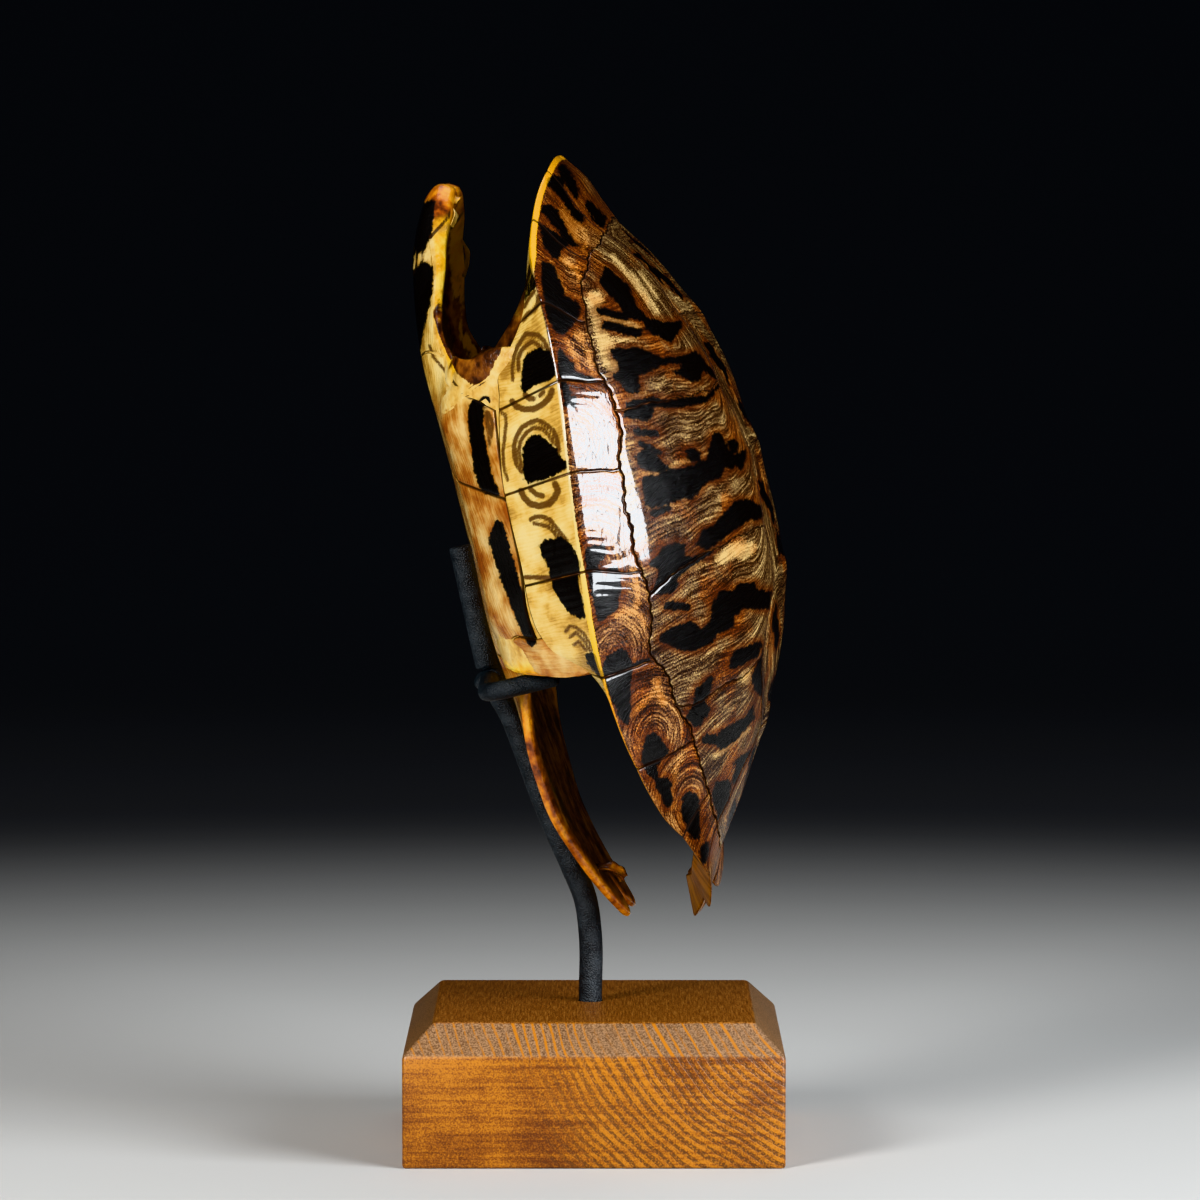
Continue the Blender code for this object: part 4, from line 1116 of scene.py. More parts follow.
def costal_plates(patch):
    """Four plates on each side of the back."""
    def marks(points):
        return side_field(points, COSTAL_DARK), UNMARKED, side_field(points, COSTAL_LIGHT)

    seams = [polyline(seam) for seam in COSTAL_SEAMS]
    corners = [SPINE_SEAM[0]] + [seam[0] for seam in COSTAL_SEAMS]
    tops = [SPINE_SEAM[0]] + [seam[-1] for seam in COSTAL_SEAMS]
    for number, centre in enumerate(COSTAL_MIDDLES):
        pieces = [part_of(MARGIN_LINE, corners[number], corners[number + 1]), seams[number],
                  part_of(SPINE_LINE, tops[number + 1], tops[number])]
        if number:
            pieces.append(seams[number - 1][::-1])
        border = wander(closed_outline(*pieces))
        field_plate(patch, border, centre, dome, 1, 11.7 + number * 5.9, True,
                    costal_lines(number), marks, drop=BACK_DROP)


def marginal_plates(patch, side):
    """The nuchal plate and twelve marginals of one side."""
    for number in range(13):
        marginal_plate(patch, number, 5.3 + number * 3.7, side)


def bridge_part(bridge, start, end):
    """Stretch of the bridge seam between two stations."""
    keep = (bridge[:, 0] <= start + 0.01) & (bridge[:, 0] >= end - 0.01)
    return bridge[keep]


def middle_line(start, end):
    """Points a millimetre or so apart along the plastron's middle."""
    count = max(2, round(abs(end - start)) + 1)
    return np.column_stack((np.linspace(start, end, count), np.zeros(count)))


def plastral_plates(patch):
    """Six pairs of plates under the body with the small ones at the bridges."""
    bridge = polyline(BRIDGE_SEAM, SEAM_SPACING)
    gular, humeral, axillary, pectoral, abdominal, inguinal, anal = map(polyline, PLASTRAL_SEAMS)
    throat, armpit, tail = (99.5, 0), PLASTRAL_SEAMS[1][0], (-74.6, 28.2)
    groin, hip = PLASTRAL_SEAMS[5][-1], (-22.4, 44)

    def edge_part(start, end):
        return part_of(OUTLINE, start, end)

    plates = {
        "gular": ((edge_part(throat, gular[0]), gular, middle_line(78, 99.5)), (92, 8), (1, 0.6)),
        "humeral": ((edge_part(gular[0], armpit), humeral, middle_line(58, 78), gular[::-1]),
                    (72, 18), (0.3, 1)),
        "pectoral": ((axillary, bridge_part(bridge, 43.5, 20.3), pectoral, middle_line(31.6, 58),
                      humeral[::-1]), (43, 28), (0.25, 1)),
        "abdominal": ((bridge_part(bridge, 20.3, -17), inguinal, edge_part(groin, hip), abdominal,
                       middle_line(-18, 31.6), pectoral[::-1]), (5, 30), (0.15, 1)),
        "inguinal": ((edge_part((-17, 66.9), groin), inguinal[::-1],
                      np.array(((-17, 62.6), (-17, 66.9)))), (-21.5, 60), (1, 0.2)),
        "femoral": ((edge_part(hip, tail), anal, middle_line(-61, -18), abdominal[::-1]),
                    (-42, 18), (0.2, 1)),
        "anal": ((edge_part(tail, (-89.5, 0)), middle_line(-89.5, -61), anal[::-1]), (-78, 10), (0.5, 1)),
    }
    for number, (name, (pieces, centre, slope)) in enumerate(plates.items()):
        def marks(points):
            dark = path_field(points, PLASTRAL_BLOTCHES.get(name, ()), belly)
            dark = np.maximum(dark, side_field(points, BRIDGE_DARK))
            return dark, side_field(points, BRIDGE_LINES + LIP_SEAM), UNMARKED

        field_plate(patch, closed_outline(*pieces), centre, belly, -1, 21.3 + number * 4.1, True,
                    level_lines(*slope), marks, under=2.0)


# Stand, the same places as the solids
BLOCK_SIDE, BLOCK_HEIGHT, BLOCK_CHAMFER, SOCKET_DEPTH = 101.6, 38.1, 8.1, 25.0
ROD_RADIUS, PRONG_RADIUS, END_CLEARANCE = 3.175, 2.55, 3.4
POST_ROUTE = ((-1, 14), (-1, 40), (-1, 56), (-2.4, 66), (-6, 75), (-10, 84),
              (-14.2, 94), (-18.8, 106.5), (-23, 117))
JOINT, REST_TOP = (-28.3, 126.0), (-36.3, 162.3)
PRONG_HALF_SPAN, PRONG_BEND, PRONG_REACH, PRONG_RISE = 47.5, 8.0, 19.5, math.radians(14)
WELD_SIZE = (4.35, 4.35, 2.85)
ROD_SIDES, POST_POINTS, BEND_POINTS = 40, 60, 16
EASE_STEPS = (0.0, 0.04, 0.14, 0.3, 0.5, 0.75, 1.0)

# Middle of the tree and the pitch of its rings in the block's own x and z, with z stretched
PITH, TREE_RING_PITCH = (78.0, 66.0), 2.5


class Reading:
    """One output of a node, so that a formula over the surface reads as one."""

    def __init__(self, socket):
        self.socket, self.tree = socket, socket.id_data

    def __add__(self, other):
        return maths("ADD", self, other)

    def __sub__(self, other):
        return maths("SUBTRACT", self, other)

    def __rsub__(self, other):
        return maths("SUBTRACT", other, self)

    def __mul__(self, other):
        return maths("MULTIPLY", self, other)


def connect(socket, value):
    """Link a reading or an output to a socket, or set a plain value on it."""
    value = getattr(value, "socket", value)
    if isinstance(value, bpy.types.NodeSocket):
        socket.id_data.links.new(value, socket)
    else:
        socket.default_value = value


def node(tree, kind, inputs=None, **settings):
    """Add a node, with its settings and its inputs as values or links."""
    made = tree.nodes.new(kind)
    for key, value in settings.items():
        setattr(made, key, value)
    for key, value in (inputs or {}).items():
        connect(made.inputs[key], value)
    return made


def maths(operation, a, b=0.0, clamp=False):
    """Result of a math node."""
    tree = (a if isinstance(a, Reading) else b).tree
    made = node(tree, "ShaderNodeMath", {0: a, 1: b}, operation=operation, use_clamp=clamp)
    return Reading(made.outputs[0])


def span(value, low, high, to_low=0.0, to_high=1.0, kind="SMOOTHSTEP"):
    """Reading mapped from one range to another and clamped."""
    inputs = {"Value": value, "From Min": low, "From Max": high, "To Min": to_low, "To Max": to_high}
    return Reading(node(value.tree, "ShaderNodeMapRange", inputs, interpolation_type=kind).outputs["Result"])


def blend(share, a, b):
    """Colour between two colours."""
    return Reading(node(share.tree, "ShaderNodeMix", {0: share, 6: a, 7: b}, data_type="RGBA").outputs[2])


def ramp(value, *stops):
    """Colour ramp through (position, colour) stops."""
    made = node(value.tree, "ShaderNodeValToRGB", {"Fac": value})
    elements = made.color_ramp.elements
    while len(elements) < len(stops):
        elements.new(0.5)
    for element, (place, colour) in zip(elements, stops):
        element.position = place
        element.color = (*colour, 1)
    return Reading(made.outputs["Color"])


def noise(place, scale, detail, stretch=None, roughness=0.5):
    """Noise over a place, which may be stretched first."""
    if stretch:
        place = node(place.tree, "ShaderNodeVectorMath", {0: place, 1: stretch}, operation="MULTIPLY")
        place = Reading(place.outputs[0])
    inputs = {"Vector": place, "Scale": scale, "Detail": detail, "Roughness": roughness}
    return Reading(node(place.tree, "ShaderNodeTexNoise", inputs).outputs[0])


def parts(vector):
    """Three parts of a vector."""
    return [Reading(part) for part in node(vector.tree, "ShaderNodeSeparateXYZ", {0: vector}).outputs]


def readings(made):
    """Outputs of a node by name."""
    return {socket.name: Reading(socket) for socket in made.outputs}


def shader_group(name, inputs, outputs):
    """New shader node group, the readings it is given and the sockets it fills."""
    group = bpy.data.node_groups.new(name, "ShaderNodeTree")
    for socket, kind in inputs.items():
        group.interface.new_socket(name=socket, in_out="INPUT", socket_type="NodeSocket" + kind)
    for socket in outputs:
        group.interface.new_socket(name=socket, in_out="OUTPUT", socket_type="NodeSocketFloat")
    given, out = group.nodes.new("NodeGroupInput"), group.nodes.new("NodeGroupOutput")
    return group, readings(given), out.inputs


def place_mm(tree):
    """Object coordinates in millimetres."""
    coords = node(tree, "ShaderNodeTexCoord").outputs["Object"]
    scaled = node(tree, "ShaderNodeVectorMath", {0: coords, "Scale": 1 / MM}, operation="SCALE")
    return Reading(scaled.outputs[0])


def make_growth_streaks():
    """Group: fine and broad streaks along a plate's growth lines, with a speckle."""
    inputs = {"Grain": "Vector", "Waviness": "Float", "Pitch": "Float"}
    group, given, out = shader_group("growth_streaks", inputs, ("Fine", "Broad", "Speckle"))
    across, along, seed = parts(given["Grain"])
    place = place_mm(group)
    sway = (noise(place, 0.10, 2.0) - 0.5) * 5.0 + (noise(place, 0.9, 2.0) - 0.5)
    across = across + sway * given["Waviness"]

    def lines(cross_scale, long_scale, detail, offset):
        vector = node(group, "ShaderNodeCombineXYZ", {0: across * cross_scale, 1: along * long_scale,
                                                      2: seed * 1.7 + offset})
        return noise(Reading(vector.outputs[0]), 1.0, detail, roughness=0.65)

    fine, broad = lines(1.5, 0.13, 3.0, 0.0), lines(0.36, 0.06, 2.0, 9.0)
    phase = maths("DIVIDE", across, given["Pitch"]) + broad * 3.0
    connect(out["Fine"], fine + maths("SINE", phase * (2 * math.pi)) * 0.075)
    connect(out["Broad"], broad)
    connect(out["Speckle"], noise(place, 2.4, 2.0))
    return group


def make_ragged_blotch():
    """Group: a blotch with a slightly torn, frilled border and a halo, from a signed depth."""
    inputs = {"Depth": "Float", "Grain": "Vector", "Tear": "Float", "Halo": "Float"}
    group, given, out = shader_group("ragged_blotch", inputs, ("Blotch", "Halo"))
    torn = noise(place_mm(group), 0.55, 4.0, roughness=0.65)
    frill = noise(given["Grain"], 1.0, 2.0, stretch=(0.3, 1.5, 3.0))
    tear = (torn - 0.5) * 2.6 + (frill - 0.5) * 1.3
    depth = given["Depth"] + tear * given["Tear"]
    connect(out["Blotch"], span(depth, -0.35, 0.1))
    connect(out["Halo"], span(depth, given["Halo"] * -1.0, 0.2))
    return group


def make_fine_grit():
    """Group: pores and grit of several sizes, as one mask and one height."""
    group, given, out = shader_group("fine_grit", {"Size": "Float"}, ("Pores", "Height"))
    place = place_mm(group)
    scale = maths("DIVIDE", 1.0, given["Size"])
    cells = node(group, "ShaderNodeTexVoronoi", {"Vector": place, "Scale": scale}, feature="F1")
    cells = readings(cells)["Distance"]
    connect(out["Pores"], span(cells, 0.05, 0.3))
    connect(out["Height"], cells * 0.5 + noise(place, scale * 1.4, 4.0))
    return group


def new_material(name, **values):
    """Material with a Principled BSDF, constant values on its own sockets; gives its tree and sockets."""
    material = bpy.data.materials.new(name)
    material.use_nodes = True
    tree = material.node_tree
    tree.nodes.clear()
    shader = node(tree, "ShaderNodeBsdfPrincipled", values)
    node(tree, "ShaderNodeOutputMaterial", {"Surface": shader.outputs[0]}).is_active_output = True
    return tree, shader.inputs


def group_node(tree, group, **inputs):
    """Readings of a node group placed in a tree."""
    return readings(node(tree, "ShaderNodeGroup", inputs, node_tree=group))


def attribute(tree, name):
    """Painted value of a piece."""
    return readings(node(tree, "ShaderNodeAttribute", attribute_name=name))["Vector"]


def bump(shader, height, strength, distance):
    """Fine relief from a height."""
    made = node(height.tree, "ShaderNodeBump", {"Height": height, "Strength": strength, "Distance": distance})
    connect(shader["Normal"], made.outputs[0])


def make_horn(streaks, blotch, grit, black):
    """Varnished horn: lined brown above, cream below, blotched black, with an amber rim."""
    tree, shader = new_material("varnished_horn", Roughness=0.3, IOR=1.5, **{
        "Specular IOR Level": 0.18, "Coat Roughness": 0.05, "Coat IOR": 1.72})
    grain, place = attribute(tree, "grain"), place_mm(tree)
    dark_depth, line_depth, light_depth = parts(attribute(tree, "mark"))
    border_depth, under, rim_depth = parts(attribute(tree, "form"))
    height = parts(place)[2]
    below = maths("ADD", under, 0.0, clamp=True)
    plastral = maths("SUBTRACT", under, 1.0, clamp=True) * span(height, 208.0, 198.0)
    margin = maths("MULTIPLY", under, -1.0, clamp=True)

    # Back: brown growth lines between taupe and rust
    streak = group_node(tree, streaks, Grain=grain, Waviness=0.35, Pitch=1.05)
    fine, broad, speckle = streak["Fine"], streak["Broad"], streak["Speckle"]
    band = span(light_depth + (speckle - 0.5) * 2.4, -0.7, 0.7)
    value = fine * 0.52 + broad * 0.50 + speckle * 0.62 + band * 0.13 - 0.335
    stain = group_node(tree, blotch, Depth=dark_depth + 0.3, Grain=grain, Tear=0.75, Halo=2.6)
    taupe = ramp(value, (0.36, (0.012, 0.005, 0.003)), (0.45, (0.052, 0.024, 0.012)),
                 (0.53, (0.135, 0.078, 0.040)), (0.62, (0.33, 0.215, 0.088)), (0.72, (0.60, 0.43, 0.19)))
    rust = ramp(value, (0.36, (0.012, 0.004, 0.002)), (0.45, (0.060, 0.014, 0.004)),
                (0.53, (0.160, 0.042, 0.009)), (0.62, (0.36, 0.125, 0.022)), (0.72, (0.62, 0.31, 0.085)))
    redness = span(noise(place, 0.075, 4.0), 0.50, 0.64, 0.0, 0.75) + stain["Halo"] * 0.6
    back = blend(maths("ADD", redness, margin * 0.5, clamp=True), taupe, rust)

    # Underside: cream at the margin, tan on the plastron
    soft = noise(place, 0.14, 5.0) * 0.8 + fine * 0.2
    cream = ramp(soft, (0.34, (0.40, 0.22, 0.05)), (0.44, (0.66, 0.41, 0.10)), (0.52, (0.82, 0.58, 0.19)),
                 (0.64, (0.88, 0.69, 0.30)))
    tan = ramp(soft, (0.36, (0.30, 0.085, 0.012)), (0.46, (0.50, 0.22, 0.05)), (0.54, (0.64, 0.38, 0.12)),
               (0.64, (0.76, 0.54, 0.23)))
    tone = blend(below, back, blend(plastral, cream, tan))

    # Markings: drawn lines, light bands, dark blotches with their halo
    frayed = (speckle - 0.5) * 0.7
    tone = blend(span(line_depth + frayed, -0.45, 0.12, 0.0, 0.94), tone, (0.115, 0.050, 0.016, 1))
    tone = blend(band * 0.3, tone, blend(margin, (0.74, 0.50, 0.20, 1), (0.58, 0.235, 0.045, 1)))
    tone = blend(stain["Halo"] * (0.62 - below * 0.42), tone, (0.075, 0.018, 0.005, 1))
    tone = blend(stain["Blotch"], tone, black)

    # Rim: yellow at the head, amber with dark streaks at the tail
    rim = span(rim_depth + frayed, -0.2, 0.2) * (1.0 - stain["Blotch"] * 0.55)
    rim_tone = ramp(span(height, 60.0, 280.0, kind="LINEAR"), (0.02, (0.19, 0.075, 0.006)),
                    (0.13, (0.27, 0.095, 0.008)), (0.30, (0.78, 0.33, 0.018)), (0.37, (0.95, 0.60, 0.02)),
                    (0.46, (0.90, 0.68, 0.22)), (0.785, (0.86, 0.76, 0.55)), (0.815, (0.82, 0.46, 0.006)),
                    (0.95, (0.72, 0.33, 0.010)))
    split = span(broad, 0.45, 0.56) * span(height, 118.0, 88.0, 0.0, 0.85)
    tone = blend(rim * 0.95, tone, blend(split, rim_tone, (0.10, 0.028, 0.005, 1)))
    seam = span(border_depth + frayed * 0.4, 0.5, 0.1)
    connect(shader["Base Color"], blend(seam * 0.85, tone, (0.016, 0.007, 0.004, 1)))

    # Varnish: thin toward the tail, broken by cracks, none in the seams
    open_seam = span(border_depth, 0.75, 0.15)
    varnish = (1.0 - open_seam) * span(height, 55.0, 175.0, 0.12, 0.75)
    cloud = noise(place, 1.0, 1.5, stretch=(0.55, 0.55, 0.10))
    crack = span(maths("ABSOLUTE", cloud - 0.47), 0.014, 0.003)
    worn = maths("MAXIMUM", crack, span(cloud, 0.66, 0.70))
    connect(shader["Coat Weight"], varnish * (1.0 - worn * 0.88))
    pores = group_node(tree, grit, Size=0.4)
    bump(shader, fine * 0.10 + pores["Height"] * 0.48 + noise(place, 0.22, 3.0) * 1.5, 0.6, 0.00035)
    dull = span(fine, 0.3, 0.7, 0.18, 0.36) + open_seam * 0.4
    connect(shader["Roughness"], dull + below * span(height, 125.0, 90.0, 0.0, 0.4))


def make_bone(blotch, grit, black):
    """Dry varnished bone, with lips of horn."""
    tree, shader = new_material("brown_bone", Roughness=0.36, **{
        "Coat Weight": 0.6, "Coat Roughness": 0.12, "Coat IOR": 1.6})
    horn, from_seam, glow = parts(attribute(tree, "form"))
    dark_depth = parts(attribute(tree, "mark"))[0]
    place = place_mm(tree)
    fleck = noise(place, 0.45, 4.0)
    cloud = noise(place, 0.11, 5.0) * 0.6 + fleck * 0.4
    inner = ramp(cloud, (0.38, (0.012, 0.005, 0.003)), (0.46, (0.050, 0.014, 0.004)),
                 (0.54, (0.16, 0.050, 0.010)), (0.64, (0.34, 0.13, 0.022)), (0.74, (0.52, 0.26, 0.06)))
    ochre = ramp(cloud, (0.42, (0.022, 0.004, 0.002)), (0.48, (0.13, 0.026, 0.004)),
                 (0.55, (0.36, 0.11, 0.010)), (0.66, (0.68, 0.30, 0.030)))
    pale = ramp(cloud, (0.38, (0.50, 0.27, 0.055)), (0.48, (0.74, 0.48, 0.13)), (0.60, (0.86, 0.66, 0.28)))
    yellow = ramp(cloud, (0.38, (0.60, 0.30, 0.02)), (0.48, (0.90, 0.50, 0.02)), (0.60, (0.95, 0.68, 0.12)))
    amber = ramp(cloud, (0.40, (0.10, 0.020, 0.004)), (0.47, (0.36, 0.088, 0.007)),
                 (0.55, (0.68, 0.24, 0.012)), (0.65, (0.88, 0.44, 0.03)))
    lip = blend(span(glow, 0.0, 0.5), pale, yellow)
    lip = blend(span(glow, 0.5, 1.0), lip, amber)
    stain = group_node(tree, blotch, Depth=dark_depth, Grain=place, Tear=0.7, Halo=1.2)
    lip = blend(stain["Halo"] * 0.5, lip, (0.12, 0.03, 0.006, 1))
    lip = blend(stain["Blotch"], lip, black)
    lip = blend(span(from_seam, 0.3, 0.0, 0.0, 0.9), lip, (0.04, 0.014, 0.005, 1))
    edge = horn + (fleck - 0.5) * 1.4
    tone = blend(span(edge, 0.3, 0.7), blend(glow, inner, ochre), lip)
    pores = group_node(tree, grit, Size=0.9)
    rough = (1.0 - pores["Pores"]) * (0.45 - horn * 0.35)
    connect(shader["Base Color"], blend(rough, tone, (0.03, 0.010, 0.004, 1)))
    bump(shader, pores["Height"] + fleck * 2.0, 0.5, 0.0003)


def make_powder_coat(grit):
    """Charcoal powder coat with a fine texture."""
    tree, shader = new_material("charcoal_powder_coat", Metallic=0.0, Roughness=0.55)
    cloud = noise(place_mm(tree), 0.25, 4.0)
    connect(shader["Base Color"], ramp(cloud, (0.35, (0.012, 0.015, 0.018)), (0.65, (0.036, 0.043, 0.049))))
    connect(shader["Roughness"], span(cloud, 0.3, 0.7, 0.38, 0.58))
    bump(shader, group_node(tree, grit, Size=0.5)["Height"], 0.9, 0.0004)


def make_wood():
    """Stained wood: faint curved rings on the right, fine streaks on the left, a brown top."""
    tree, shader = new_material("stained_wood", Roughness=0.45, **{
        "Coat Weight": 0.3, "Coat Roughness": 0.25})
    place = place_mm(tree)
    x, y, z = parts(place)
    facing = parts(readings(node(tree, "ShaderNodeNewGeometry"))["Normal"])
    upward, sideways = facing[2], maths("ABSOLUTE", facing[0])

    # Growth rings round a pith beyond the block's upper right edge
    dx, dz = x + y * 0.10 - PITH[0], z * 1.25 - PITH[1]
    sway = noise(place, 0.04, 2.0, stretch=(1.0, 0.12, 1.0))
    radius = maths("SQRT", dx * dx + dz * dz) + sway * 6.0
    vector = node(tree, "ShaderNodeCombineXYZ", {0: radius * 0.62, 1: y * 0.02})
    uneven = noise(Reading(vector.outputs[0]), 1.0, 2.0)
    ring = maths("SINE", radius * (2 * math.pi / TREE_RING_PITCH)) * 0.26 + uneven
    dash = span(noise(place, 1.0, 3.0, stretch=(1.5, 0.1, 1.5)), 0.40, 0.54, 0.25, 1.0)
    dark = span(ring, 0.40, 0.62) * dash * span(x + sway * 30.0, -16.0, 22.0)

    # Front: orange stain with fine level streaks
    patchy, grit = noise(place, 0.045, 3.0), noise(place, 2.2, 2.0)
    mixed = noise(place, 1.0, 5.0, stretch=(0.035, 0.05, 1.1)) * 0.26 + patchy * 0.38 + grit * 0.36
    tone = ramp(mixed, (0.40, (0.115, 0.030, 0.003)), (0.48, (0.24, 0.078, 0.005)),
                (0.57, (0.42, 0.165, 0.011)))
    tone = blend(dark * 0.85, tone, (0.085, 0.032, 0.008, 1))
    top = noise(place, 1.0, 3.0, stretch=(2.2, 0.10, 0.0)) * 0.40 + grit * 0.60
    top = ramp(top, (0.38, (0.11, 0.033, 0.005)), (0.50, (0.22, 0.080, 0.012)), (0.62, (0.42, 0.20, 0.06)))
    tone = blend(span(upward, 0.85, 0.98), tone, top)

    # Chamfer: taupe on the slanted faces, with orange ring lines on the front and back
    bevel = span(upward, 0.3, 0.6) * span(upward, 0.95, 0.8)
    ridge = span(ring + grit * 0.3 + patchy * 0.5, 0.56, 0.78)
    ridge = maths("MAXIMUM", ridge, span(sideways, 0.3, 0.5))
    taupe = ramp(grit, (0.38, (0.13, 0.072, 0.038)), (0.62, (0.32, 0.20, 0.115)))
    tone = blend(bevel * 0.9, tone, blend(ridge, (0.46, 0.18, 0.018, 1), taupe))
    connect(shader["Base Color"], tone)
    bump(shader, grit * 0.5 - dark, 0.35, 0.0002)


def rod_tree():
    """Geometry Nodes tree: a round rod with eased ends along a route of points."""
    tree = bpy.data.node_groups.new("bent_rod", "GeometryNodeTree")
    tree.interface.new_socket(name="Geometry", in_out="INPUT", socket_type="NodeSocketGeometry")
    for name, kind in (("Radius", "Float"), ("Sides", "Int"), ("Finish", "Material")):
        tree.interface.new_socket(name=name, in_out="INPUT", socket_type="NodeSocket" + kind)
    tree.interface.new_socket(name="Geometry", in_out="OUTPUT", socket_type="NodeSocketGeometry")
    given, out = tree.nodes.new("NodeGroupInput"), tree.nodes.new("NodeGroupOutput")
    route = node(tree, "GeometryNodeMeshToCurve", {"Mesh": given.outputs["Geometry"]})
    end = node(tree, "GeometryNodeInputNamedAttribute", {"Name": "end"}, data_type="FLOAT")
    circle = node(tree, "GeometryNodeCurvePrimitiveCircle", {"Resolution": given.outputs["Sides"],
                                                             "Radius": given.outputs["Radius"]})
    sized = node(tree, "GeometryNodeSetCurveRadius", {"Curve": route.outputs[0],
                                                      "Radius": end.outputs["Attribute"]})
    rod = node(tree, "GeometryNodeCurveToMesh", {"Curve": sized.outputs[0], "Fill Caps": True,
                                                 "Profile Curve": circle.outputs[0]})
    for scale in [s for s in rod.inputs if s.name == "Scale"]:
        tree.links.new(end.outputs["Attribute"], scale)
    real = node(tree, "GeometryNodeRealizeInstances", {0: rod.outputs[0]})
    finish = node(tree, "GeometryNodeSetMaterial", {"Geometry": real.outputs[0],
                                                    "Material": given.outputs["Finish"]})
    tree.links.new(finish.outputs[0], out.inputs[0])
    return tree


def rod_piece(name, route, radius, ease, material, tree):
    """Rod along a route in millimetres, made by Geometry Nodes and kept as a plain mesh."""
    route = np.array(route, float)
    first, last = unit(route[1] - route[0]), unit(route[-2] - route[-1])
    points = [route[0] + first * ease * s for s in EASE_STEPS] + list(route[1:-1])
    points += [route[-1] + last * ease * s for s in EASE_STEPS[::-1]]
    share = min(ease / radius, 0.95)
    scale = [1 - share + share * math.sqrt(1 - (1 - s) ** 2) for s in EASE_STEPS]
    sizes = scale + [1.0] * (len(route) - 2) + scale[::-1]
    mesh = bpy.data.meshes.new(name + "_route")
    mesh.from_pydata((np.array(points) * MM).tolist(), [(i, i + 1) for i in range(len(points) - 1)], [])
    ends = mesh.attributes.new("end", "FLOAT", "POINT")
    ends.data.foreach_set("value", np.array(sizes, np.float32))
    wire = linked(name + "_route", mesh)
    change = wire.modifiers.new("Rod", "NODES")
    change.node_group = tree
    sockets = {item.name: item.identifier for item in tree.interface.items_tree
               if item.item_type == "SOCKET" and item.in_out == "INPUT"}
    change[sockets["Radius"]] = radius * MM
    change[sockets["Sides"]] = ROD_SIDES
    change[sockets["Finish"]] = material
    made = merged(plain_mesh(wire, name))
    made.set_sharp_from_angle(angle=math.radians(50))
    return made


def prong_route(side):
    """Half of the cradle: out along y, round a bend and forward under the bridge."""
    x, z = JOINT
    forward = Vector((math.cos(PRONG_RISE), 0, math.sin(PRONG_RISE)))
    corner = Vector((x, side * (PRONG_HALF_SPAN - PRONG_BEND), z)) + forward * PRONG_BEND
    route = [Vector((x, 0, z)), Vector((x, side * 14, z)), Vector((x, side * 27, z))]
    for step in range(BEND_POINTS + 1):
        turn = math.pi / 2 * step / BEND_POINTS
        route.append(corner - forward * PRONG_BEND * math.cos(turn)
                     + Vector((0, side * PRONG_BEND * math.sin(turn), 0)))
    route.append(route[-1] + forward * (PRONG_REACH - PRONG_BEND))
    return route


def weld_mesh(name):
    """Uneven weld bead round the joint of the rods."""
    bm = bmesh.new()
    bmesh.ops.create_icosphere(bm, subdivisions=4, radius=1)
    lean = math.atan2(REST_TOP[0] - JOINT[0], REST_TOP[1] - JOINT[1]) * 1.6
    turn = Matrix.Rotation(lean, 4, "Y")
    for vert in bm.verts:
        p = vert.co
        lump = 1 + 0.05 * math.sin(7 * p.x + 3 * p.z) * math.sin(6 * p.y)
        lump += 0.03 * math.sin(13 * p.y + 5 * p.x)
        vert.co = turn @ Vector([axis * size * lump for axis, size in zip(p, WELD_SIZE)])
        vert.co += Vector((JOINT[0], 0, JOINT[1]))
    bmesh.ops.scale(bm, vec=(MM, MM, MM), verts=bm.verts)
    mesh = mesh_from(bm, name)
    mesh.shade_smooth()
    return mesh


def block_mesh(name, rounding, gap):
    """Chamfered block with rounded edges and the post's hole."""
    bm = bmesh.new()
    bmesh.ops.create_cube(bm, size=1)
    bmesh.ops.scale(bm, vec=(BLOCK_SIDE, BLOCK_SIDE, BLOCK_HEIGHT), verts=bm.verts)
    bmesh.ops.translate(bm, vec=(0, 0, BLOCK_HEIGHT / 2), verts=bm.verts)
    top = [edge for edge in bm.edges if all(v.co.z > BLOCK_HEIGHT - 1 for v in edge.verts)]
    bmesh.ops.bevel(bm, geom=top, offset=BLOCK_CHAMFER, segments=1, affect="EDGES", clamp_overlap=True)
    bmesh.ops.bevel(bm, geom=list(bm.edges), offset=rounding, segments=3, profile=0.5,
                    affect="EDGES", clamp_overlap=True)
    bmesh.ops.scale(bm, vec=(MM, MM, MM), verts=bm.verts)
    block = linked(name + "_blank", mesh_from(bm, name))
    cut = bmesh.new()
    radius = (ROD_RADIUS + gap) * MM
    bmesh.ops.create_cone(cut, cap_ends=True, segments=64, depth=(SOCKET_DEPTH + 2) * MM, radius1=radius,
                          radius2=radius)
    bmesh.ops.translate(cut, vec=(POST_ROUTE[0][0] * MM, 0, (BLOCK_HEIGHT - SOCKET_DEPTH / 2 + 1) * MM),
                        verts=cut.verts)
    hole = linked("hole", mesh_from(cut, "hole"))
    change = block.modifiers.new("Hole", "BOOLEAN")
    change.operation, change.solver, change.object = "DIFFERENCE", "EXACT", hole
    made = plain_mesh(block, name)
    bpy.data.objects.remove(hole)
    made.shade_smooth()
    made.set_sharp_from_angle(angle=math.radians(35))
    return made


def bare(points):
    """Painted values of bone with no horn on it."""
    form = np.zeros((len(points), 3))
    form[:, 1] = NO_SEAM
    return form, np.full((len(points), 3), UNMARKED)


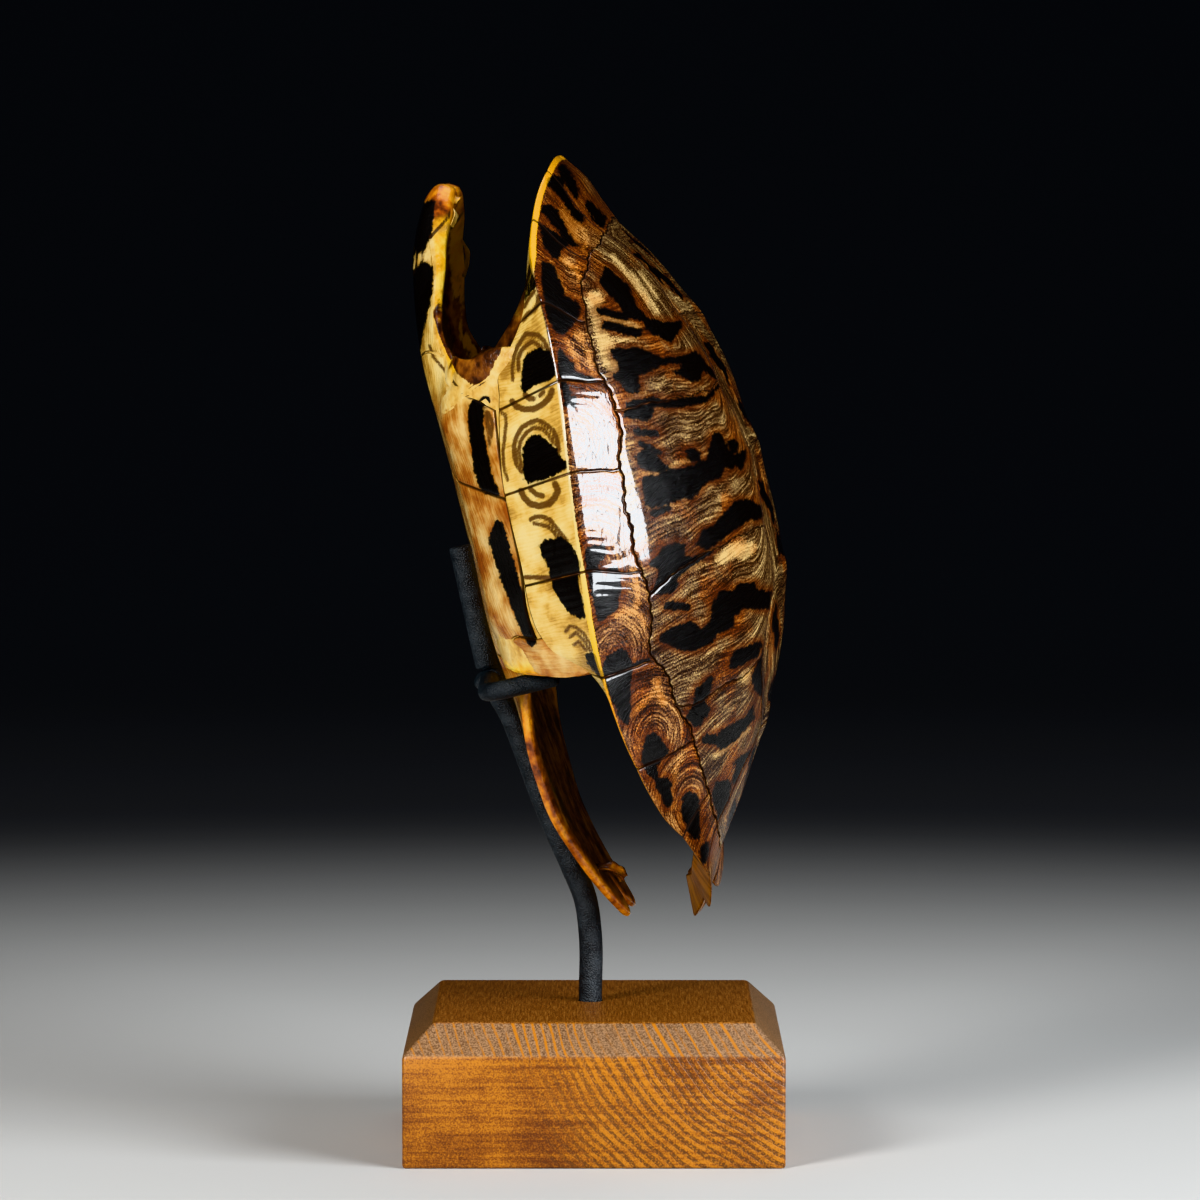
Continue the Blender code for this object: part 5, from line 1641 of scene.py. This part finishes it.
def lip_horn(points):
    """Painted values of the plastron's lip: how far it is horn, its seams, amber tip and blotches."""
    gap, nearest = outline_distance(points[:, 0], points[:, 1])
    rise = points[:, 2] - belly(points[:, 0], points[:, 1])
    a, l = nearest[:, 0], nearest[:, 1]
    bridge = smooth_step((52.8 - a) / 1.5) * smooth_step((a + 22) / 2) * smooth_step((l - 50) / 3)
    thick = through(a, LIP_THICKNESS)
    inner = smooth_step((rise - 0.75 * thick) / (0.35 * thick))
    horn = 1 - smooth_step((gap - 4.0 + 1.4 * inner) / 2.0)
    horn = np.where(bridge > 0.5, 1 - smooth_step((rise - 1.4) / 1.2), horn)
    horn = np.maximum(horn, rise < 0.9)
    horn *= 1 - smooth_step((side_field(points, NOTCH) + 0.35) / 0.7) * smooth_step((82 - points[:, 0]) / 16)
    front = points[:, 0] > 45
    seams = np.where(front, -side_field(points, LIP_SEAM), NO_SEAM)
    amber = smooth_step((points[:, 0] - 92) / 6)
    crest = smooth_step((rise / thick - 0.15) / 0.3) * smooth_step((points[:, 0] - 50) / 5)
    glow = np.where(front, np.maximum(amber, 0.5 * crest * smooth_step((94 - points[:, 0]) / 3)),
                    smooth_step((-20 - points[:, 0]) / 8))
    mark = np.full((len(points), 3), UNMARKED)
    mark[:, 0] = np.where(front, side_field(points, BRIDGE_DARK), UNMARKED)
    return np.column_stack((horn, seams, glow)), mark


# Loose flakes of horn: three places (a, l, d) from root to tip, the width, and how amber they are
FLAKES = (
    (((90, -22, 12.9), (85.5, -23, 13.5), (80, -23.5, 10.8)), 2.4, 0.1),
    (((97.4, 15.2, 17), (95.6, 17, 17), (93.4, 18.6, 15.4)), 1.7, 0.0),
    (((102, 1.5, 16), (103.2, 3.6, 17), (102.2, 6.2, 16.2)), 2.2, 0.9),
    (((101.2, -6.4, 16), (102.7, -4.6, 17), (101.8, -2.6, 16)), 2.0, 0.6),
    (((99.6, 7.6, 17.6), (100.6, 9.8, 18.4), (99.2, 12.2, 17.3)), 2.2, 0.8),
    (((-83.4, 16, 4.6), (-85, 17, 9.6), (-88, 16.6, 11.4)), 4.2, 1.0),
    (((-84.4, 11.6, 4.8), (-86.2, 12.2, 8.8), (-88.8, 12, 10)), 2.4, 1.0),
)
FLAKE_THICKNESS, FLAKE_CURL = 0.4, 0.5


def flake(patch, path, width, glow):
    """One thin curled flake, a closed strip along three places."""
    root, middle, tip = np.array(path, float)
    t = np.linspace(0, 1, 13)[:, None]
    centre = (1 - t) * (1 - 2 * t) * root + 4 * t * (1 - t) * middle + t * (2 * t - 1) * tip
    ahead = np.gradient(centre, axis=0)
    sideways = unit(np.cross(ahead, middle - (root + tip) / 2))
    outward = unit(np.cross(sideways, ahead))
    half = width / 2 * (0.45 + 0.55 * np.sin(math.pi * (0.1 + 0.75 * t))) * (1 + 0.12 * np.sin(19 * t))
    across = np.linspace(-1, 1, 7)
    layers = []
    for lift, order in ((FLAKE_THICKNESS / 2, across), (-FLAKE_THICKNESS / 2, across[::-1])):
        for u in order:
            raised = FLAKE_CURL * half * u * u + lift * (1 - 0.5 * abs(u)) + 0.12 * np.sin(9 * u + 11 * t)
            layers.append(centre + sideways * half * u + outward * raised)
    rows, columns = len(layers), len(t)
    faces = turned(quads(rows + 1, columns))
    faces += [tuple(r * columns + end for r in range(rows)) for end in (0, columns - 1)]
    points = np.concatenate(layers + layers[:1])
    horn = 1.0 if root[0] > 0 else 0.0
    patch.add(points, faces, form=np.tile((horn, NO_SEAM, glow), (len(points), 1)),
              mark=np.full((len(points), 3), UNMARKED))


class TurtlePlates(bpy.types.PropertyGroup):
    """Sizes of the horn plates and the colour of their blotches."""

    groove: bpy.props.FloatProperty(
        name="Groove", description="Half width of the gap between plates",
        default=0.00011, min=0, unit="LENGTH")
    edge_round: bpy.props.FloatProperty(
        name="Edge rounding", description="Width of a plate's rounded border",
        default=0.0009, min=0, unit="LENGTH")
    edge_drop: bpy.props.FloatProperty(
        name="Edge drop", description="How far the border falls away",
        default=0.00038, min=0, unit="LENGTH")
    rim_round: bpy.props.FloatProperty(
        name="Rim rounding", description="Size of the rounded rim",
        default=0.0011, min=0, unit="LENGTH")
    bone_depth: bpy.props.FloatProperty(
        name="Bone depth", description="Depth of the bone under the horn",
        default=0.0007, min=0, unit="LENGTH")
    blotch_tone: bpy.props.FloatVectorProperty(
        name="Blotches", description="Colour of the dark blotches",
        default=(0.0065, 0.0055, 0.005), size=3, subtype="COLOR", min=0, max=1)


class TurtleStand(bpy.types.PropertyGroup):
    """Sizes of the stand that its solids leave free."""

    block_round: bpy.props.FloatProperty(
        name="Block rounding", description="Rounding of the block's edges",
        default=0.0009, min=0, unit="LENGTH")
    hole_gap: bpy.props.FloatProperty(
        name="Hole gap", description="Gap between the post and the wall of its hole",
        default=0.0003, min=0, unit="LENGTH")
    rod_round: bpy.props.FloatProperty(
        name="Rod rounding", description="Rounding of the ends of post and rest rod",
        default=0.0007, min=0, unit="LENGTH")
    prong_round: bpy.props.FloatProperty(
        name="Prong rounding", description="Rounding of the ends of the prongs",
        default=0.0016, min=0, unit="LENGTH")


class TurtleStage(bpy.types.PropertyGroup):
    """Colours of the floor and wall, and strength of the lights."""

    floor_tone: bpy.props.FloatVectorProperty(
        name="Floor", description="Colour of the floor",
        default=(0.56, 0.555, 0.54), size=3, subtype="COLOR", min=0, max=1)
    backdrop_tone: bpy.props.FloatVectorProperty(
        name="Backdrop", description="Colour of the wall behind",
        default=(0.055, 0.055, 0.058), size=3, subtype="COLOR", min=0, max=1)
    softbox_power: bpy.props.FloatProperty(
        name="Softbox", description="Power of the softbox on the right",
        default=25.0, min=0, unit="POWER")
    key_power: bpy.props.FloatProperty(
        name="Key light", description="Power of the light on the left",
        default=19.0, min=0, unit="POWER")
    top_power: bpy.props.FloatProperty(
        name="Top light", description="Power of the light above",
        default=4.0, min=0, unit="POWER")
    world_strength: bpy.props.FloatProperty(
        name="Surroundings", description="Strength of the even light",
        default=0.06, min=0)


class SHELL_OT_bone(bpy.types.Operator):
    """Build the bone of the carapace and plastron"""

    bl_idname = "turtle.bone"
    bl_label = "Bone"

    def execute(self, context):
        sink = context.scene.turtle_plates.bone_depth / MM
        material = bpy.data.materials["brown_bone"]
        for name, rows, painted in (("carapace_bone", carapace_bone_rows, bare),
                                    ("plastron_bone", plastron_bone_rows, lip_horn)):
            new_piece(name, bone_mesh(name, rows(sink), painted), material, "shell", "shell")
        patch = Patch()
        for path, width, glow in FLAKES:
            flake(patch, path, width, glow)
        new_piece("horn_flakes", merged(patch.mesh("horn_flakes")), material, "shell", "shell")
        return {"FINISHED"}


class SHELL_OT_horn(bpy.types.Operator):
    """Build the horn plates"""

    bl_idname = "turtle.horn"
    bl_label = "Horn plates"

    def execute(self, context):
        material = bpy.data.materials["varnished_horn"]
        for name, build, *side in (("vertebral_scutes", vertebral_plates), ("costal_scutes", costal_plates),
                                   ("marginal_scutes_left", marginal_plates, 1),
                                   ("marginal_scutes_right", marginal_plates, -1),
                                   ("plastral_scutes", plastral_plates)):
            patch = Patch()
            build(patch, *side)
            new_piece(name, patch.mesh(name), material, "shell", "shell")
        return {"FINISHED"}


class SHELL_OT_stand(bpy.types.Operator):
    """Build the rods, the weld and the wooden block"""

    bl_idname = "turtle.stand"
    bl_label = "Stand"

    def execute(self, context):
        settings = context.scene.turtle_stand
        coat = bpy.data.materials["charcoal_powder_coat"]
        tree = rod_tree()
        joint, top = Vector(JOINT), Vector(REST_TOP)
        end = joint + (Vector(POST_ROUTE[-1]) - joint).normalized() * END_CLEARANCE
        post = [(x, 0, z) for x, z in along_line(POST_ROUTE + (tuple(end),), POST_POINTS)]
        foot = joint + (top - joint).normalized() * END_CLEARANCE
        rest = [(place.x, 0, place.y) for place in (foot, (foot + top) / 2, top)]
        prongs = prong_route(1)[::-1] + prong_route(-1)[1:]
        for name, route, radius, ease, solid in (
                ("post_rod", post, ROD_RADIUS, settings.rod_round, "post"),
                ("plastron_rest", rest, ROD_RADIUS, settings.rod_round, "rest_rod"),
                ("cradle_prongs", prongs, PRONG_RADIUS, settings.prong_round, "cradle")):
            new_piece(name, rod_piece(name, route, radius, ease / MM, coat, tree), coat, "rod", solid)
        new_piece("weld", weld_mesh("weld"), coat, "rod", "cradle")
        block = block_mesh("wood_block", settings.block_round / MM, settings.hole_gap / MM)
        new_piece("wood_block", block, bpy.data.materials["stained_wood"], "wood", "base")
        return {"FINISHED"}


class SHELL_OT_finishes(bpy.types.Operator):
    """Make the materials"""

    bl_idname = "turtle.finishes"
    bl_label = "Finishes"

    def execute(self, context):
        streaks, blotch, grit = make_growth_streaks(), make_ragged_blotch(), make_fine_grit()
        black = (*context.scene.turtle_plates.blotch_tone, 1)
        make_horn(streaks, blotch, grit, black)
        make_bone(blotch, grit, black)
        make_powder_coat(grit)
        make_wood()
        return {"FINISHED"}


# Stage in metres: the floor with its sweep up to the wall, the lights as place, aim, size and
# colour, and the camera of the photograph
FLOOR_BACK, FLOOR_END, FLOOR_HALF, SWEEP_RADIUS, WALL_TOP = -8.0, 1.4, 4, 1.6, 4.0
# Distances from the middle over which the pale floor fades to the backdrop's dark: a painted falloff of light
# on the floor
FLOOR_LIGHT_FALLOFF = (0.18, 0.9)
LIGHTS = {"softbox": ((0.88, -0.64, 0.47), (0, -0.07, 0.18), (0.80, 0.46), (0.92, 0.96, 1.0)),
          "key": ((-0.75, -0.95, 0.62), (0, 0, 0.17), (0.35, 0.6), (1, 1, 1)),
          "top": ((0.1, 0.5, 1.4), (0, 0, 0.15), (0.9, 0.9), (1, 1, 1))}
WORLD_TINT = (0.8, 0.85, 0.9, 1)
CAMERA_PLACE, CAMERA_TILT = (0.00162, -1.6453, 0.2625), math.radians(90 - 3.996)
LENS_LENGTH, SENSOR_WIDTH, CLIP_RANGE = 182.2, 36.0, (0.05, 50)
GAMMA = 0.88


def area_light(name, strength):
    """Soft rectangular light that faces a point."""
    place, aim, size, colour = LIGHTS[name]
    lamp = bpy.data.lights.new(name, "AREA")
    lamp.shape = "RECTANGLE"
    lamp.size, lamp.size_y = size
    lamp.energy = strength
    lamp.color = colour
    light = linked(name, lamp)
    light.location = place
    light.rotation_euler = (Vector(aim) - Vector(place)).to_track_quat("-Z", "Y").to_euler()


class SHELL_OT_stage(bpy.types.Operator):
    """Build the floor, the lights and the camera"""

    bl_idname = "turtle.stage"
    bl_label = "Stage"

    def execute(self, context):
        settings = context.scene.turtle_stage
        profile = [(FLOOR_BACK, 0.0), (FLOOR_END, 0.0)]
        profile += [(FLOOR_END + SWEEP_RADIUS * math.sin(t), SWEEP_RADIUS * (1 - math.cos(t)))
                    for t in np.linspace(0, math.pi / 2, 25)[1:]]
        profile.append((FLOOR_END + SWEEP_RADIUS, WALL_TOP))
        points = [(x, y, z) for y, z in profile for x in (-FLOOR_HALF, FLOOR_HALF)]
        mesh = bpy.data.meshes.new("floor")
        mesh.from_pydata(points, [], quads(len(profile), 2))
        mesh.shade_smooth()
        floor = linked("floor", mesh)
        tree, shader = new_material("pale_floor", Roughness=0.8)
        coords = node(tree, "ShaderNodeTexCoord").outputs["Object"]
        distance = readings(node(tree, "ShaderNodeVectorMath", {0: coords}, operation="LENGTH"))["Value"]
        # Pale near the middle, fading to the backdrop's dark further out: a painted falloff of light
        tone = blend(span(distance, *FLOOR_LIGHT_FALLOFF), (*settings.floor_tone, 1), (*settings.backdrop_tone, 1))
        connect(shader["Base Color"], tone)
        mesh.materials.append(bpy.data.materials["pale_floor"])

        world = bpy.data.worlds.new("studio")
        world.use_nodes = True
        background = world.node_tree.nodes["Background"].inputs
        background[0].default_value = WORLD_TINT
        background[1].default_value = settings.world_strength
        context.scene.world = world
        for name in LIGHTS:
            area_light(name, getattr(settings, name + "_power"))

        lens = bpy.data.cameras.new("camera")
        lens.lens, lens.sensor_width = LENS_LENGTH, SENSOR_WIDTH
        lens.clip_start, lens.clip_end = CLIP_RANGE
        camera = linked("camera", lens)
        camera.location = CAMERA_PLACE
        camera.rotation_euler = (CAMERA_TILT, 0, 0)
        context.scene.camera = camera
        context.scene.view_settings.view_transform = "Khronos PBR Neutral"
        context.scene.view_settings.gamma = GAMMA
        return {"FINISHED"}


class SHELL_PT_panel(bpy.types.Panel):
    """Sidebar panel that lists the pieces and their sizes"""

    bl_idname = "SHELL_PT_panel"
    bl_label = "Turtle Shell"
    bl_space_type = "VIEW_3D"
    bl_region_type = "UI"
    bl_category = "Turtle Shell"

    def draw(self, context):
        for operator in OPERATORS:
            self.layout.operator(operator.bl_idname)
        scene = context.scene
        for settings in (scene.turtle_plates, scene.turtle_stand, scene.turtle_stage):
            for name in settings.__annotations__:
                self.layout.prop(settings, name)


OPERATORS = (SHELL_OT_finishes, SHELL_OT_stage, SHELL_OT_bone, SHELL_OT_horn, SHELL_OT_stand)
CLASSES = (TurtlePlates, TurtleStand, TurtleStage) + OPERATORS + (SHELL_PT_panel,)


def register():
    """Add the classes and the scene's settings."""
    for item in CLASSES:
        bpy.utils.register_class(item)
    bpy.types.Scene.turtle_plates = bpy.props.PointerProperty(type=TurtlePlates)
    bpy.types.Scene.turtle_stand = bpy.props.PointerProperty(type=TurtleStand)
    bpy.types.Scene.turtle_stage = bpy.props.PointerProperty(type=TurtleStage)


def unregister():
    """Remove the settings and the classes."""
    del bpy.types.Scene.turtle_stage
    del bpy.types.Scene.turtle_stand
    del bpy.types.Scene.turtle_plates
    for item in reversed(CLASSES):
        bpy.utils.unregister_class(item)


def main():
    """Build everything in order."""
    register()
    bpy.ops.turtle.finishes()
    bpy.ops.turtle.stage()
    bpy.ops.turtle.bone()
    bpy.ops.turtle.horn()
    bpy.ops.turtle.stand()


if __name__ == "__main__":
    main()
